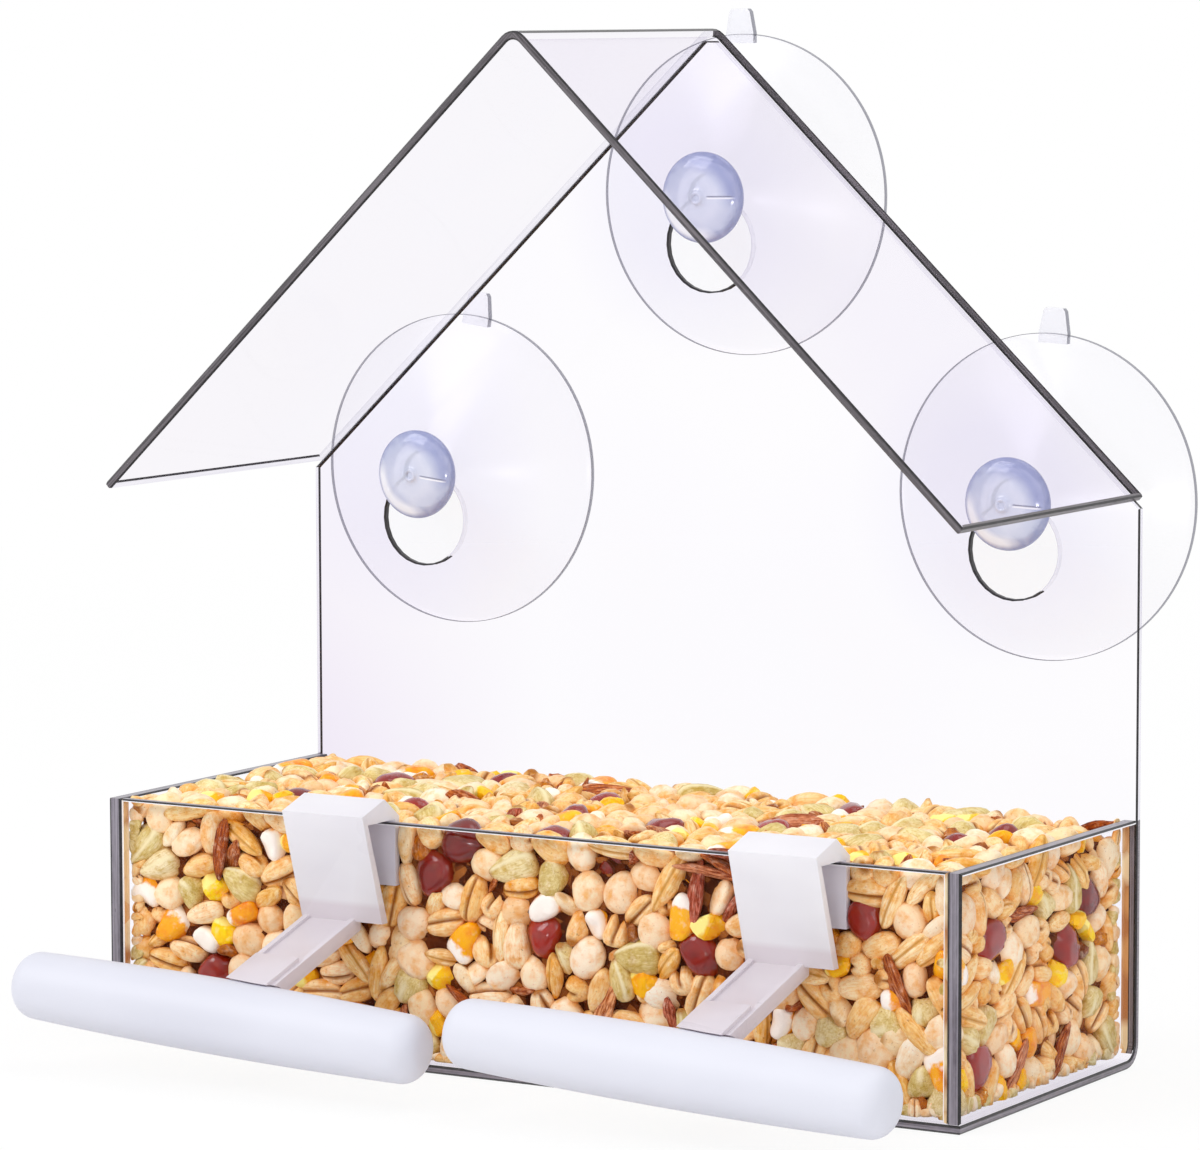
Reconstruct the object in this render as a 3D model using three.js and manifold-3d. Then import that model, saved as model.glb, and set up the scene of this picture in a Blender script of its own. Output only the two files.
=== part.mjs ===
// Window bird feeder: a clear acrylic house with an open front and open sides, a tray of bird seed,
// two clip-on perches and three suction cups that hang it on a window pane.
//
// Millimetres. X runs to the right, Y runs towards the window, Z runs up. The origin is the middle of
// the underside of the floor. The open front of the house looks along -Y.

import * as THREE from 'three';
import { mergeVertices } from 'three/addons/utils/BufferGeometryUtils.js';
import Module from 'manifold-3d';

const wasm = await Module();
wasm.setup();

// House

const HOUSE_WIDTH = 150;
const HOUSE_DEPTH = 60;
const EAVE_HEIGHT = 87.6;
const ROOF_PITCH = THREE.MathUtils.degToRad(43.6);
const TRAY_HEIGHT = 38;

const SHEET = 1.3; // thickness of the two sheets that are bent hot
const SIDE_WALL = 2.3;
const FRONT_WALL = 1.6;
const FLOOR_BEND = 2.4; // inner radius where the back turns into the floor
const RIDGE_BEND = 1.6; // inner radius of the ridge
const GLUE_LINE = 0.1;

// Suction cups

const CUP_RADIUS = 25.5;
const CUP_STANDOFF = 10.5; // from the back panel to the window pane
const CUP_EDGE = 0.8;
const CUP_LAND = 3; // flat ring that seals on the pane
const CUP_WALL = 2.1;
const CUP_CROWN = 2.6; // between the hollow and the shoulder
const CONE_OUT_SHARE = 0.39; // the cone's curve is drawn in to this share of the way out
const CONE_UP_SHARE = 0.38; // and to this share of the way up
const SHOULDER_RADIUS = 5.6;
const NECK_RADIUS = 3.3;
const HEAD_RADIUS = 7.2;
const HEAD_EDGE = 1.7;
const HEAD_DOME = 2;
const NUB_RADIUS = 1.3;
const NUB_HEIGHT = 0.4;
const TAB_BASE = 5;
const TAB_TIP = 3.6;
const TAB_HEIGHT = 4;
const TAB_THICKNESS = 1.2;

const NECK_PLAY = 0.3;
const HEAD_PLAY = 0.3;
const PANEL_PLAY = 0.3; // between the panel and the head, and between the panel and the shoulder
const KEYHOLE_DROP = 7.4; // from the seat of the neck down to the middle of the round hole

const LOWER_CUP_INSET = 21.3; // from the side of the house to the middle of a lower cup
const LOWER_CUP_BELOW_EAVE = 2;
const UPPER_CUP_BELOW_RIDGE = 27.5;
const LEFT_CUP_TURN = THREE.MathUtils.degToRad(8);
const RIGHT_CUP_TURN = THREE.MathUtils.degToRad(3);
const TOP_CUP_TURN = THREE.MathUtils.degToRad(-1);

// Perches

const PAIR_SHIFT = 2; // the pair of bars stands this far to the right of the house
const BAR_SHORTFALL = 2; // a bar is this much shorter than half the house
const BAR_GAP = 5; // between the two bars
const BAR_DROOP = THREE.MathUtils.degToRad(2.9); // a bar's right end hangs lower than its left end
const BAR_MIDDLE_RADIUS = 5.75;
const BAR_END_RADIUS = 5.2;
const BAR_ROUNDING = 3.4;
const BAR_REACH = 25; // from the front wall to the axis of the bar
const BAR_BELOW_RIM = 27.2;
const BAR_OFFSET = 7; // the middle of the bar lies this far to the left of its clip

const CLIP_WIDTH = 14.6;
const CLIP_WALL = 1.6; // thickness of the front leg
const CLIP_LEG = 1.2; // thickness of the back leg
const CLIP_PLAY = 0.3;
const CLIP_FRONT_DROP = 15.4;
const CLIP_BACK_DROP = 10;
const CROWN_LEAN = 5.3; // the front leg stands this much further out at its top
const CROWN_RISE = 1.4; // the bridge's front edge above the rim's seat
const PEAK_RISE = 3.4;
const PEAK_REACH = 1; // the bridge is highest this far in front of the wall
const SHOULDER_RISE = 0.4;
const SNAP_BULGE = 1.2;
const SNAP_LENGTH = 3.2;

const ARM_INSET = 0.5; // from the left edge of the clip
const ARM_WIDTH = 9.2;
const ARM_THICKNESS = 1.9;
const ARM_FALL = THREE.MathUtils.degToRad(17.5);
const ARM_RIB_WIDTH = 0.9;
const ARM_RIB_HEIGHT = 0.5;
const LUG_LENGTH = 3;
const LUG_MARGIN = 0.7;
const LUG_RISE = 1.2;
const TENON_WIDTH = 5;
const TENON_PLAY = 0.3;

// Seed

const SEED_PLAY = 0.3;
const SEED_PITCH = 6.2; // from one seed to the next
const SEED_RELIEF = 3.4; // depth of the gaps between seeds
const SEED_CREST = 0.4; // the highest seeds stand this far above the rim
const SEED_GRAIN = 2.75; // size of the faces that form the seeds
const SEED_SCATTER_SHARES = [0.8192, 0.671, 0.5497];

// Places and sizes that follow from the ones above

const FRONT = -HOUSE_DEPTH / 2;
const BACK = HOUSE_DEPTH / 2;
const HALF_WIDTH = HOUSE_WIDTH / 2;
const PANEL_FACE = BACK - SHEET;
const INNER_HALF_WIDTH = HALF_WIDTH - SIDE_WALL;
const RIDGE_HEIGHT = EAVE_HEIGHT + HALF_WIDTH * Math.tan(ROOF_PITCH);
const RIM_PLANE = BACK + CUP_STANDOFF;
const BAR_LENGTH = HALF_WIDTH - BAR_SHORTFALL;
const CLIP_FOOT = -CLIP_PLAY - CLIP_WALL;
const OVERRUN = 1.5; // cuts run this far past the faces
const UPRIGHT = Math.PI / 2;

const BEND_STEPS = 6;
const HOLE_STEPS = 24;
const SLOT_STEPS = 10;
const CURVE_STEPS = 6;
const EDGE_STEPS = 3;
const SWELL_STEPS = 4;
const ROUND_STEPS = 32;

// Solids

function solidOf(geometry) {
  const bare = geometry.clone();
  bare.deleteAttribute('normal');
  bare.deleteAttribute('uv');
  const merged = mergeVertices(bare);
  const corners = Array.from(merged.index.array);
  const triangles = [];
  for (let i = 0; i < corners.length; i += 3) {
    const [a, b, c] = corners.slice(i, i + 3);
    if (a !== b && b !== c && c !== a) triangles.push(a, b, c);
  }
  return new wasm.Manifold(new wasm.Mesh({
    numProp: 3,
    vertProperties: new Float32Array(merged.attributes.position.array),
    triVerts: new Uint32Array(triangles),
  }));
}

function geometryOf(solid) {
  const mesh = solid.getMesh();
  const geometry = new THREE.BufferGeometry();
  geometry.setAttribute('position', new THREE.BufferAttribute(mesh.vertProperties, mesh.numProp));
  geometry.setIndex(new THREE.BufferAttribute(mesh.triVerts, 1));
  geometry.computeVertexNormals();
  return geometry;
}

function extruded(shape, length, turn) {
  return new THREE.ExtrudeGeometry(shape, { depth: length, bevelEnabled: false }).applyMatrix4(turn);
}

// An outline drawn in Y and Z, carried along X from one place to another.
function alongX(shape, left, right) {
  const turn = new THREE.Matrix4().makeBasis(
    new THREE.Vector3(0, 1, 0), new THREE.Vector3(0, 0, 1), new THREE.Vector3(1, 0, 0));
  return extruded(shape, right - left, turn).translate(left, 0, 0);
}

// An outline drawn in X and Z, carried along Y from one place to another.
function alongY(shape, front, back) {
  const turn = new THREE.Matrix4().makeBasis(
    new THREE.Vector3(1, 0, 0), new THREE.Vector3(0, 0, 1), new THREE.Vector3(0, -1, 0));
  return extruded(shape, back - front, turn).translate(0, back, 0);
}

function outline(points) {
  return new THREE.Shape(points.map(([u, v]) => new THREE.Vector2(u, v)));
}

function rectangle(left, right, bottom, top) {
  return outline([[left, bottom], [right, bottom], [right, top], [left, top]]);
}

function arc(centreU, centreV, radius, from, to, steps) {
  const points = [];
  for (let step = 0; step <= steps; step += 1) {
    const angle = from + (to - from) * (step / steps);
    points.push([centreU + radius * Math.cos(angle), centreV + radius * Math.sin(angle)]);
  }
  return points;
}

function piece(name, geometry, finish) {
  const mesh = new THREE.Mesh(geometry, new THREE.MeshStandardMaterial(finish));
  mesh.name = name;
  return mesh;
}

const ACRYLIC = { color: 0xf1f0f8, roughness: 0.06, metalness: 0, transparent: true, opacity: 0.25 };
const SOFT_VINYL = { color: 0xe6e6f8, roughness: 0.18, metalness: 0, transparent: true, opacity: 0.7 };
const CLIP_PLASTIC = { color: 0xdfdde6, roughness: 0.35, metalness: 0 };
const BAR_PLASTIC = { color: 0xe9eaf3, roughness: 0.3, metalness: 0 };
const SEED = { color: 0xdcbd8c, roughness: 0.8, metalness: 0 };

// Roof: one sheet, bent at the ridge

// Height of the roof's underside over a place x, moved down by a gap measured square to the slope.
function roofUnderside(x, gap) {
  return RIDGE_HEIGHT - Math.abs(x) * Math.tan(ROOF_PITCH) - (SHEET + gap) / Math.cos(ROOF_PITCH);
}

function roofSheet() {
  const bendCentre = roofUnderside(0, 0) - RIDGE_BEND / Math.cos(ROOF_PITCH);
  const left = UPRIGHT + ROOF_PITCH;
  const right = UPRIGHT - ROOF_PITCH;
  const innerX = HALF_WIDTH - SHEET * Math.sin(ROOF_PITCH);
  const innerZ = EAVE_HEIGHT - SHEET * Math.cos(ROOF_PITCH);
  const profile = outline([
    [-HALF_WIDTH, EAVE_HEIGHT],
    ...arc(0, bendCentre, RIDGE_BEND + SHEET, left, right, BEND_STEPS),
    [HALF_WIDTH, EAVE_HEIGHT],
    [innerX, innerZ],
    ...arc(0, bendCentre, RIDGE_BEND, right, left, BEND_STEPS),
    [-innerX, innerZ],
  ]);
  return piece('roof_sheet', alongY(profile, FRONT, BACK), ACRYLIC);
}

// Back and floor: one sheet, bent where they meet

function cupPlaces() {
  const spread = HALF_WIDTH - LOWER_CUP_INSET;
  const low = EAVE_HEIGHT - LOWER_CUP_BELOW_EAVE;
  const high = RIDGE_HEIGHT - UPPER_CUP_BELOW_RIDGE;
  return [
    { name: 'left_suction_cup', x: -spread, z: low, turn: LEFT_CUP_TURN },
    { name: 'right_suction_cup', x: spread, z: low, turn: RIGHT_CUP_TURN },
    { name: 'top_suction_cup', x: 0, z: high, turn: TOP_CUP_TURN },
  ];
}

function keyhole(x, seatHeight) {
  const slotRadius = NECK_RADIUS + NECK_PLAY;
  const holeRadius = HEAD_RADIUS + HEAD_PLAY;
  const middle = seatHeight - KEYHOLE_DROP;
  const mouth = Math.asin(slotRadius / holeRadius);
  const around = 2 * Math.PI + UPRIGHT - mouth;
  return outline([
    ...arc(x, middle, holeRadius, UPRIGHT + mouth, around, HOLE_STEPS),
    ...arc(x, seatHeight, slotRadius, 0, Math.PI, SLOT_STEPS),
  ]);
}

// All that lies above the roof's underside.
function skyCut() {
  const ridgeFlat = (RIDGE_BEND + GLUE_LINE) * Math.sin(ROOF_PITCH);
  const ridgeCut = roofUnderside(ridgeFlat, GLUE_LINE);
  const edge = HALF_WIDTH + OVERRUN;
  const edgeCut = roofUnderside(edge, GLUE_LINE);
  const above = RIDGE_HEIGHT + OVERRUN;
  const sky = outline([
    [-edge, edgeCut],
    [-ridgeFlat, ridgeCut],
    [ridgeFlat, ridgeCut],
    [edge, edgeCut],
    [edge, above],
    [-edge, above],
  ]);
  return alongY(sky, PANEL_FACE - OVERRUN, BACK + OVERRUN);
}

function backAndFloorSheet() {
  const bendY = PANEL_FACE - FLOOR_BEND;
  const bendZ = SHEET + FLOOR_BEND;
  const profile = outline([
    [FRONT, 0],
    ...arc(bendY, bendZ, FLOOR_BEND + SHEET, -UPRIGHT, 0, BEND_STEPS),
    [BACK, RIDGE_HEIGHT],
    [PANEL_FACE, RIDGE_HEIGHT],
    ...arc(bendY, bendZ, FLOOR_BEND, 0, -UPRIGHT, BEND_STEPS),
    [FRONT, SHEET],
  ]);
  let sheet = solidOf(alongX(profile, -HALF_WIDTH, HALF_WIDTH)).subtract(solidOf(skyCut()));
  for (const place of cupPlaces()) {
    const hole = alongY(keyhole(place.x, place.z), PANEL_FACE - OVERRUN, BACK + OVERRUN);
    sheet = sheet.subtract(solidOf(hole));
  }
  return piece('back_and_floor_sheet', geometryOf(sheet), ACRYLIC);
}

// Tray walls

function sidePanel(name, side) {
  const bottom = SHEET + GLUE_LINE;
  const back = PANEL_FACE - GLUE_LINE;
  const corner = arc(back - FLOOR_BEND, bottom + FLOOR_BEND, FLOOR_BEND, -UPRIGHT, 0, BEND_STEPS);
  const profile = outline([[FRONT, bottom], ...corner, [back, TRAY_HEIGHT], [FRONT, TRAY_HEIGHT]]);
  const outer = side * HALF_WIDTH;
  const inner = side * INNER_HALF_WIDTH;
  return piece(name, alongX(profile, Math.min(outer, inner), Math.max(outer, inner)), ACRYLIC);
}

function frontPanel() {
  const halfWidth = INNER_HALF_WIDTH - GLUE_LINE;
  const profile = rectangle(-halfWidth, halfWidth, SHEET + GLUE_LINE, TRAY_HEIGHT);
  return piece('front_panel', alongY(profile, FRONT, FRONT + FRONT_WALL), ACRYLIC);
}

// Suction cups, turned about their own axis, which runs along Y

function curvePoints(start, control, end) {
  return new THREE.QuadraticBezierCurve(start, control, end).getPoints(CURVE_STEPS);
}

// Half the outline of a cup: distance from the axis, then distance from the pane towards the house.
function cupProfile() {
  const at = (radius, height) => new THREE.Vector2(radius, height);
  const shoulder = CUP_STANDOFF - PANEL_PLAY;
  const headSeat = CUP_STANDOFF + SHEET + PANEL_PLAY;
  const headWidest = headSeat + HEAD_EDGE;
  const nubTop = headWidest + HEAD_DOME + NUB_HEIGHT;
  const dome = arc(0, 0, 1, Math.acos(NUB_RADIUS / HEAD_RADIUS), 0, CURVE_STEPS)
    .map(([out, up]) => at(out * HEAD_RADIUS, headWidest + up * HEAD_DOME));
  const edge = arc(HEAD_RADIUS - HEAD_EDGE, headWidest, HEAD_EDGE, 0, -UPRIGHT, EDGE_STEPS)
    .map(([out, up]) => at(out, up));
  const waistRadius = THREE.MathUtils.lerp(SHOULDER_RADIUS, CUP_RADIUS, CONE_OUT_SHARE);
  const waistHeight = THREE.MathUtils.lerp(CUP_EDGE, shoulder, CONE_UP_SHARE);
  const cone = curvePoints(
    at(SHOULDER_RADIUS, shoulder),
    at(waistRadius, waistHeight),
    at(CUP_RADIUS, CUP_EDGE));
  const hollow = curvePoints(
    at(CUP_RADIUS - CUP_LAND, 0),
    at(waistRadius - CUP_WALL, waistHeight - CUP_WALL),
    at(0, shoulder - CUP_CROWN));
  return [
    at(0, nubTop),
    at(NUB_RADIUS, nubTop),
    ...dome,
    ...edge.slice(1),
    at(NECK_RADIUS, headSeat),
    at(NECK_RADIUS, shoulder),
    ...cone,
    at(CUP_RADIUS, 0),
    ...hollow,
  ];
}

function pullTab() {
  const root = CUP_RADIUS - CUP_LAND / 2;
  const tip = CUP_RADIUS + TAB_HEIGHT;
  const shape = outline([
    [-TAB_BASE / 2, root],
    [TAB_BASE / 2, root],
    [TAB_TIP / 2, tip],
    [-TAB_TIP / 2, tip],
  ]);
  return alongY(shape, -TAB_THICKNESS, 0);
}

function suctionCup(place) {
  const points = cupProfile().map((point) => new THREE.Vector2(point.x, -point.y));
  const turned = solidOf(new THREE.LatheGeometry(points, ROUND_STEPS));
  const cup = turned.add(solidOf(pullTab()));
  const mesh = piece(place.name, geometryOf(cup), SOFT_VINYL);
  mesh.position.set(place.x, RIM_PLANE, place.z);
  mesh.rotation.y = place.turn;
  return mesh;
}

// Perches. Each is drawn about the top edge of the front wall's outer face, below its clip's middle.

function clipProfile() {
  const crown = CLIP_FOOT - CROWN_LEAN;
  const inside = FRONT_WALL + CLIP_PLAY;
  const behind = inside + CLIP_LEG;
  const bulge = [];
  for (let step = 0; step <= CURVE_STEPS; step += 1) {
    const share = step / CURVE_STEPS;
    const out = SNAP_BULGE * Math.sin(share * Math.PI);
    bulge.push([behind + out, SNAP_LENGTH * (1 - share) - CLIP_BACK_DROP]);
  }
  return outline([
    [CLIP_FOOT, -CLIP_FRONT_DROP],
    [-CLIP_PLAY, -CLIP_FRONT_DROP],
    [crown + CLIP_WALL, CLIP_PLAY],
    [inside, CLIP_PLAY],
    [inside, -CLIP_BACK_DROP],
    ...bulge.reverse(),
    [behind, CLIP_PLAY + SHOULDER_RISE],
    [-PEAK_REACH, CLIP_PLAY + PEAK_RISE],
    [crown, CLIP_PLAY + CROWN_RISE],
  ]);
}

// A stretch of the sloping arm between two places along Y, from so far below its top to so far above.
function armStretch(near, far, left, right, below, above) {
  const topAt = (y) => (y - CLIP_FOOT) * Math.tan(ARM_FALL) - CLIP_FRONT_DROP;
  const shape = outline([
    [far, topAt(far) - below],
    [near, topAt(near) - below],
    [near, topAt(near) + above],
    [far, topAt(far) + above],
  ]);
  return solidOf(alongX(shape, left, right));
}

const ARM_LEFT = ARM_INSET - CLIP_WIDTH / 2;
const ARM_RIGHT = ARM_LEFT + ARM_WIDTH;
const ARM_MIDDLE = ARM_LEFT + ARM_WIDTH / 2;
const ARM_DEPTH = ARM_THICKNESS / Math.cos(ARM_FALL);

function armAndTenon(barRoom) {
  const root = -CLIP_PLAY;
  const end = -BAR_REACH;
  const lugStart = end + BAR_MIDDLE_RADIUS + LUG_LENGTH;
  let arm = armStretch(root, end, ARM_LEFT, ARM_RIGHT, ARM_DEPTH, 0);
  for (const ribLeft of [ARM_LEFT, ARM_RIGHT - ARM_RIB_WIDTH]) {
    const ribRight = ribLeft + ARM_RIB_WIDTH;
    arm = arm.add(armStretch(CLIP_FOOT, end, ribLeft, ribRight, ARM_DEPTH, ARM_RIB_HEIGHT));
  }
  const lugLeft = ARM_LEFT + LUG_MARGIN;
  const lugRight = ARM_RIGHT - LUG_MARGIN;
  arm = arm.add(armStretch(lugStart, end, lugLeft, lugRight, ARM_DEPTH, LUG_RISE)).subtract(barRoom);
  const halfWidth = TENON_WIDTH / 2;
  return arm.add(armStretch(lugStart, end, ARM_MIDDLE - halfWidth, ARM_MIDDLE + halfWidth, ARM_DEPTH, 0));
}

function tenonSocket() {
  const near = BAR_MIDDLE_RADIUS + TENON_PLAY - BAR_REACH;
  const far = -BAR_REACH - TENON_PLAY;
  const halfWidth = TENON_WIDTH / 2 + TENON_PLAY;
  const left = ARM_MIDDLE - halfWidth;
  const right = ARM_MIDDLE + halfWidth;
  return armStretch(near, far, left, right, ARM_DEPTH + TENON_PLAY, TENON_PLAY);
}

function barBody(growth) {
  const half = BAR_LENGTH / 2 + growth;
  const endRadius = BAR_END_RADIUS + growth;
  const swell = BAR_MIDDLE_RADIUS - BAR_END_RADIUS;
  const straight = half - BAR_ROUNDING;
  const rounding = arc(endRadius - BAR_ROUNDING, 0, BAR_ROUNDING, -UPRIGHT, 0, EDGE_STEPS);
  const lower = rounding.map(([out, along]) => [out, along - straight]);
  const upper = rounding.map(([out, along]) => [out, straight - along]).reverse();
  const side = [];
  for (let step = 1; step < SWELL_STEPS; step += 1) {
    const share = (2 * step) / SWELL_STEPS - 1;
    side.push([endRadius + swell * (1 - share * share), share * straight]);
  }
  const points = [[0, -half], ...lower, ...side, ...upper, [0, half]]
    .map(([out, along]) => new THREE.Vector2(out, along));
  const turned = new THREE.LatheGeometry(points, ROUND_STEPS).rotateZ(-UPRIGHT).rotateY(BAR_DROOP);
  return solidOf(turned.translate(-BAR_OFFSET, -BAR_REACH, -BAR_BELOW_RIM));
}

function perch(place) {
  const clip = solidOf(alongX(clipProfile(), -CLIP_WIDTH / 2, CLIP_WIDTH / 2));
  const arm = armAndTenon(barBody(TENON_PLAY));
  const bar = barBody(0).subtract(tenonSocket());
  const group = new THREE.Group();
  group.add(piece(`${place.side}_perch_clip`, geometryOf(clip.add(arm)), CLIP_PLASTIC));
  group.add(piece(`${place.side}_perch_bar`, geometryOf(bar), BAR_PLASTIC));
  group.position.set(place.x, FRONT, TRAY_HEIGHT);
  return group;
}

function perchPlaces() {
  const middle = PAIR_SHIFT + BAR_OFFSET;
  const halfPitch = (BAR_LENGTH + BAR_GAP) / 2;
  return [
    { side: 'left', x: middle - halfPitch },
    { side: 'right', x: middle + halfPitch },
  ];
}

// Seed: fills the tray to its rim, with room for the clips' back legs

// A number from 0 to 1 that differs from each cell of a lattice to the next.
function scatter(i, j, k) {
  const value = i * SEED_SCATTER_SHARES[0] + j * SEED_SCATTER_SHARES[1] + k * SEED_SCATTER_SHARES[2];
  return value - Math.floor(value);
}

// The middle of the seed in one cell of the lattice.
function seedMiddle(i, j, k) {
  return new THREE.Vector3(i + scatter(i, j, k), j + scatter(j, k, i), k + scatter(k, i, j))
    .multiplyScalar(SEED_PITCH);
}

// How far a place lies from the middle of the nearest seed.
function fromSeed(place) {
  const [i, j, k] = place.toArray().map((value) => Math.floor(value / SEED_PITCH));
  let least = SEED_PITCH;
  for (const di of [-1, 0, 1]) {
    for (const dj of [-1, 0, 1]) {
      for (const dk of [-1, 0, 1]) {
        least = Math.min(least, place.distanceTo(seedMiddle(i + di, j + dj, k + dk)));
      }
    }
  }
  return least;
}

// A block whose faces sink in between the seeds that they stand for.
function seededBlock(width, depth, height) {
  const steps = [width, depth, height].map((size) => Math.round(size / SEED_GRAIN));
  const block = mergeVertices(new THREE.BoxGeometry(width, depth, height, ...steps)
    .deleteAttribute('normal')
    .deleteAttribute('uv'));
  const half = new THREE.Vector3(width, depth, height).divideScalar(2);
  const corners = block.attributes.position;
  for (let index = 0; index < corners.count; index += 1) {
    const place = new THREE.Vector3().fromBufferAttribute(corners, index);
    const sink = SEED_RELIEF * (fromSeed(place) / SEED_PITCH) ** 2;
    for (let axis = 0; axis < 3; axis += 1) {
      const value = place.getComponent(axis);
      const onFace = half.getComponent(axis) - Math.abs(value) < SEED_GRAIN / 4;
      if (onFace) place.setComponent(axis, value - Math.sign(value) * sink);
    }
    corners.setXYZ(index, place.x, place.y, place.z);
  }
  return block;
}

function clipPocket(x) {
  const halfWidth = CLIP_WIDTH / 2 + SEED_PLAY;
  const back = FRONT + FRONT_WALL + CLIP_PLAY + CLIP_LEG + SNAP_BULGE + SEED_PLAY;
  const bottom = TRAY_HEIGHT - CLIP_BACK_DROP - SEED_PLAY;
  const top = TRAY_HEIGHT + SEED_CREST + OVERRUN;
  return alongY(rectangle(x - halfWidth, x + halfWidth, bottom, top), FRONT, back);
}

function seedMix() {
  const bottom = SHEET + SEED_PLAY;
  const top = TRAY_HEIGHT + SEED_CREST;
  const front = FRONT + FRONT_WALL + SEED_PLAY;
  const back = PANEL_FACE - SEED_PLAY;
  const halfWidth = INNER_HALF_WIDTH - SEED_PLAY;
  const corner = arc(back - FLOOR_BEND, bottom + FLOOR_BEND, FLOOR_BEND, -UPRIGHT, 0, BEND_STEPS);
  const tray = outline([[front, bottom], ...corner, [back, top], [front, top]]);
  const block = seededBlock(2 * halfWidth, back - front, top - bottom);
  block.translate(0, (front + back) / 2, (top + bottom) / 2);
  let mix = solidOf(alongX(tray, -halfWidth, halfWidth)).intersect(solidOf(block));
  for (const place of perchPlaces()) {
    mix = mix.subtract(solidOf(clipPocket(place.x)));
  }
  return piece('seed_mix', geometryOf(mix), SEED);
}

// Assembly

const feeder = new THREE.Group();
feeder.add(backAndFloorSheet(), frontPanel());
feeder.add(sidePanel('left_side_panel', -1), sidePanel('right_side_panel', 1));
feeder.add(roofSheet(), seedMix());
feeder.add(...cupPlaces().map(suctionCup));
feeder.add(...perchPlaces().map(perch));

export default feeder;
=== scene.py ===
"""Window bird feeder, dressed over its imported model.

Sizes are in millimetres until a mesh is made. X runs to the right, Y towards the window, Z up, and the
origin is the middle of the floor's underside, as in the model.
"""

import math
from collections import namedtuple

import bmesh
import bpy
import numpy as np
from mathutils import Matrix, Vector


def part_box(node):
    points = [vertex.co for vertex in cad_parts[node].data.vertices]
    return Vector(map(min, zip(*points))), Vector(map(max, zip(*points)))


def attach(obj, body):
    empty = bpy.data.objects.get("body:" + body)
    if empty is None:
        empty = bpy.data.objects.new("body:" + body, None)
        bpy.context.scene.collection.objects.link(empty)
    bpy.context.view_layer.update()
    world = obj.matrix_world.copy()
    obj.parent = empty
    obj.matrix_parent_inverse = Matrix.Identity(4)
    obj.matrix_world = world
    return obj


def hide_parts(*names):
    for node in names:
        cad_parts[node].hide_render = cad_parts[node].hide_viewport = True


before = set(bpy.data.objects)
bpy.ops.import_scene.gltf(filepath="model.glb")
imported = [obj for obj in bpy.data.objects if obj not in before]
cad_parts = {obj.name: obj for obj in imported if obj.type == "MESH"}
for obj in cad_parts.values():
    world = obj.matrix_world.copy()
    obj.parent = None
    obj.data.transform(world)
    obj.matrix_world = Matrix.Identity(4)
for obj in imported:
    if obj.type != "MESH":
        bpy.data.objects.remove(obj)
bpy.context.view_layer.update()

MM = 0.001


def corners(node):
    """Lowest and highest corner of a node of the model, in millimetres."""
    low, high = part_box(node)
    return np.array(low) / MM, np.array(high) / MM


# Places and sizes taken from the model
SHEET_HIGH = corners("back_and_floor_sheet")[1]
PANEL_LOW, PANEL_HIGH = corners("front_panel")
SIDE_LOW, SIDE_HIGH = corners("right_side_panel")
ROOF_LOW, ROOF_HIGH = corners("roof_sheet")
RIM = PANEL_HIGH[2]
HALF_WIDTH = SHEET_HIGH[0]
RIM_PLANE = corners("top_suction_cup")[1][1]
CLIP_BOXES = [corners("left_perch_clip"), corners("right_perch_clip")]

# The same values as in the model's source, which can't be read from its boxes
SHEET = 1.3
CUP_RADIUS, CUP_EDGE, CUP_LAND = 25.5, 0.8, 3.0
SHOULDER_RADIUS, NECK_RADIUS = 5.6, 3.3
HEAD_RADIUS, HEAD_EDGE, HEAD_DOME = 7.2, 1.7, 2.0
NUB_RADIUS, NUB_HEIGHT = 1.3, 0.4
SHOULDER, HEAD_SEAT = 10.2, 12.1  # above the pane
WAIST = (13.36, 4.37)
HOLLOW_WAIST = (11.26, 2.27)
HOLLOW_TOP = 7.6
TAB_BASE, TAB_TIP, TAB_HEIGHT, TAB_THICKNESS = 5.0, 3.6, 4.0, 1.2
CUPS = {"left": (-53.7, 85.6, 8.0), "right": (53.7, 85.6, 3.0), "top": (0.0, 131.52, -1.0)}  # x, z, turn
KEYHOLE_DROP = 7.4
BAR_LENGTH, BAR_MIDDLE_RADIUS, BAR_END_RADIUS, BAR_ROUNDING = 73.0, 5.75, 5.2, 3.4
BAR_DROOP = math.radians(2.9)
CLIP_LEG_REACH, CLIP_LEG_DROP = 4.6, 10.3  # room for a clip's back leg behind the front wall
CLIP_FADE = 12.5  # a clip is faintly warmer and darker from here down, measured from the rim: painted shade, warmed by the seed that shows through

# Shades on the back sheet: a faint lavender tint before each cup, and where the shade in the lower left fades
# out
BLOOM_SHIFT, BLOOM_FULL, BLOOM_END = -3.0, 12.0, 26.0
SHADE_X, SHADE_Z = (-75, -30), (40, 100)


# Colours and nodes

def srgb(r, g, b):
    """A colour picked on a screen, as the linear colour that a shader takes."""
    return tuple(((c / 255 + 0.055) / 1.055) ** 2.4 if c > 10 else c / 3294.6 for c in (r, g, b)) + (1.0,)


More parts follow.
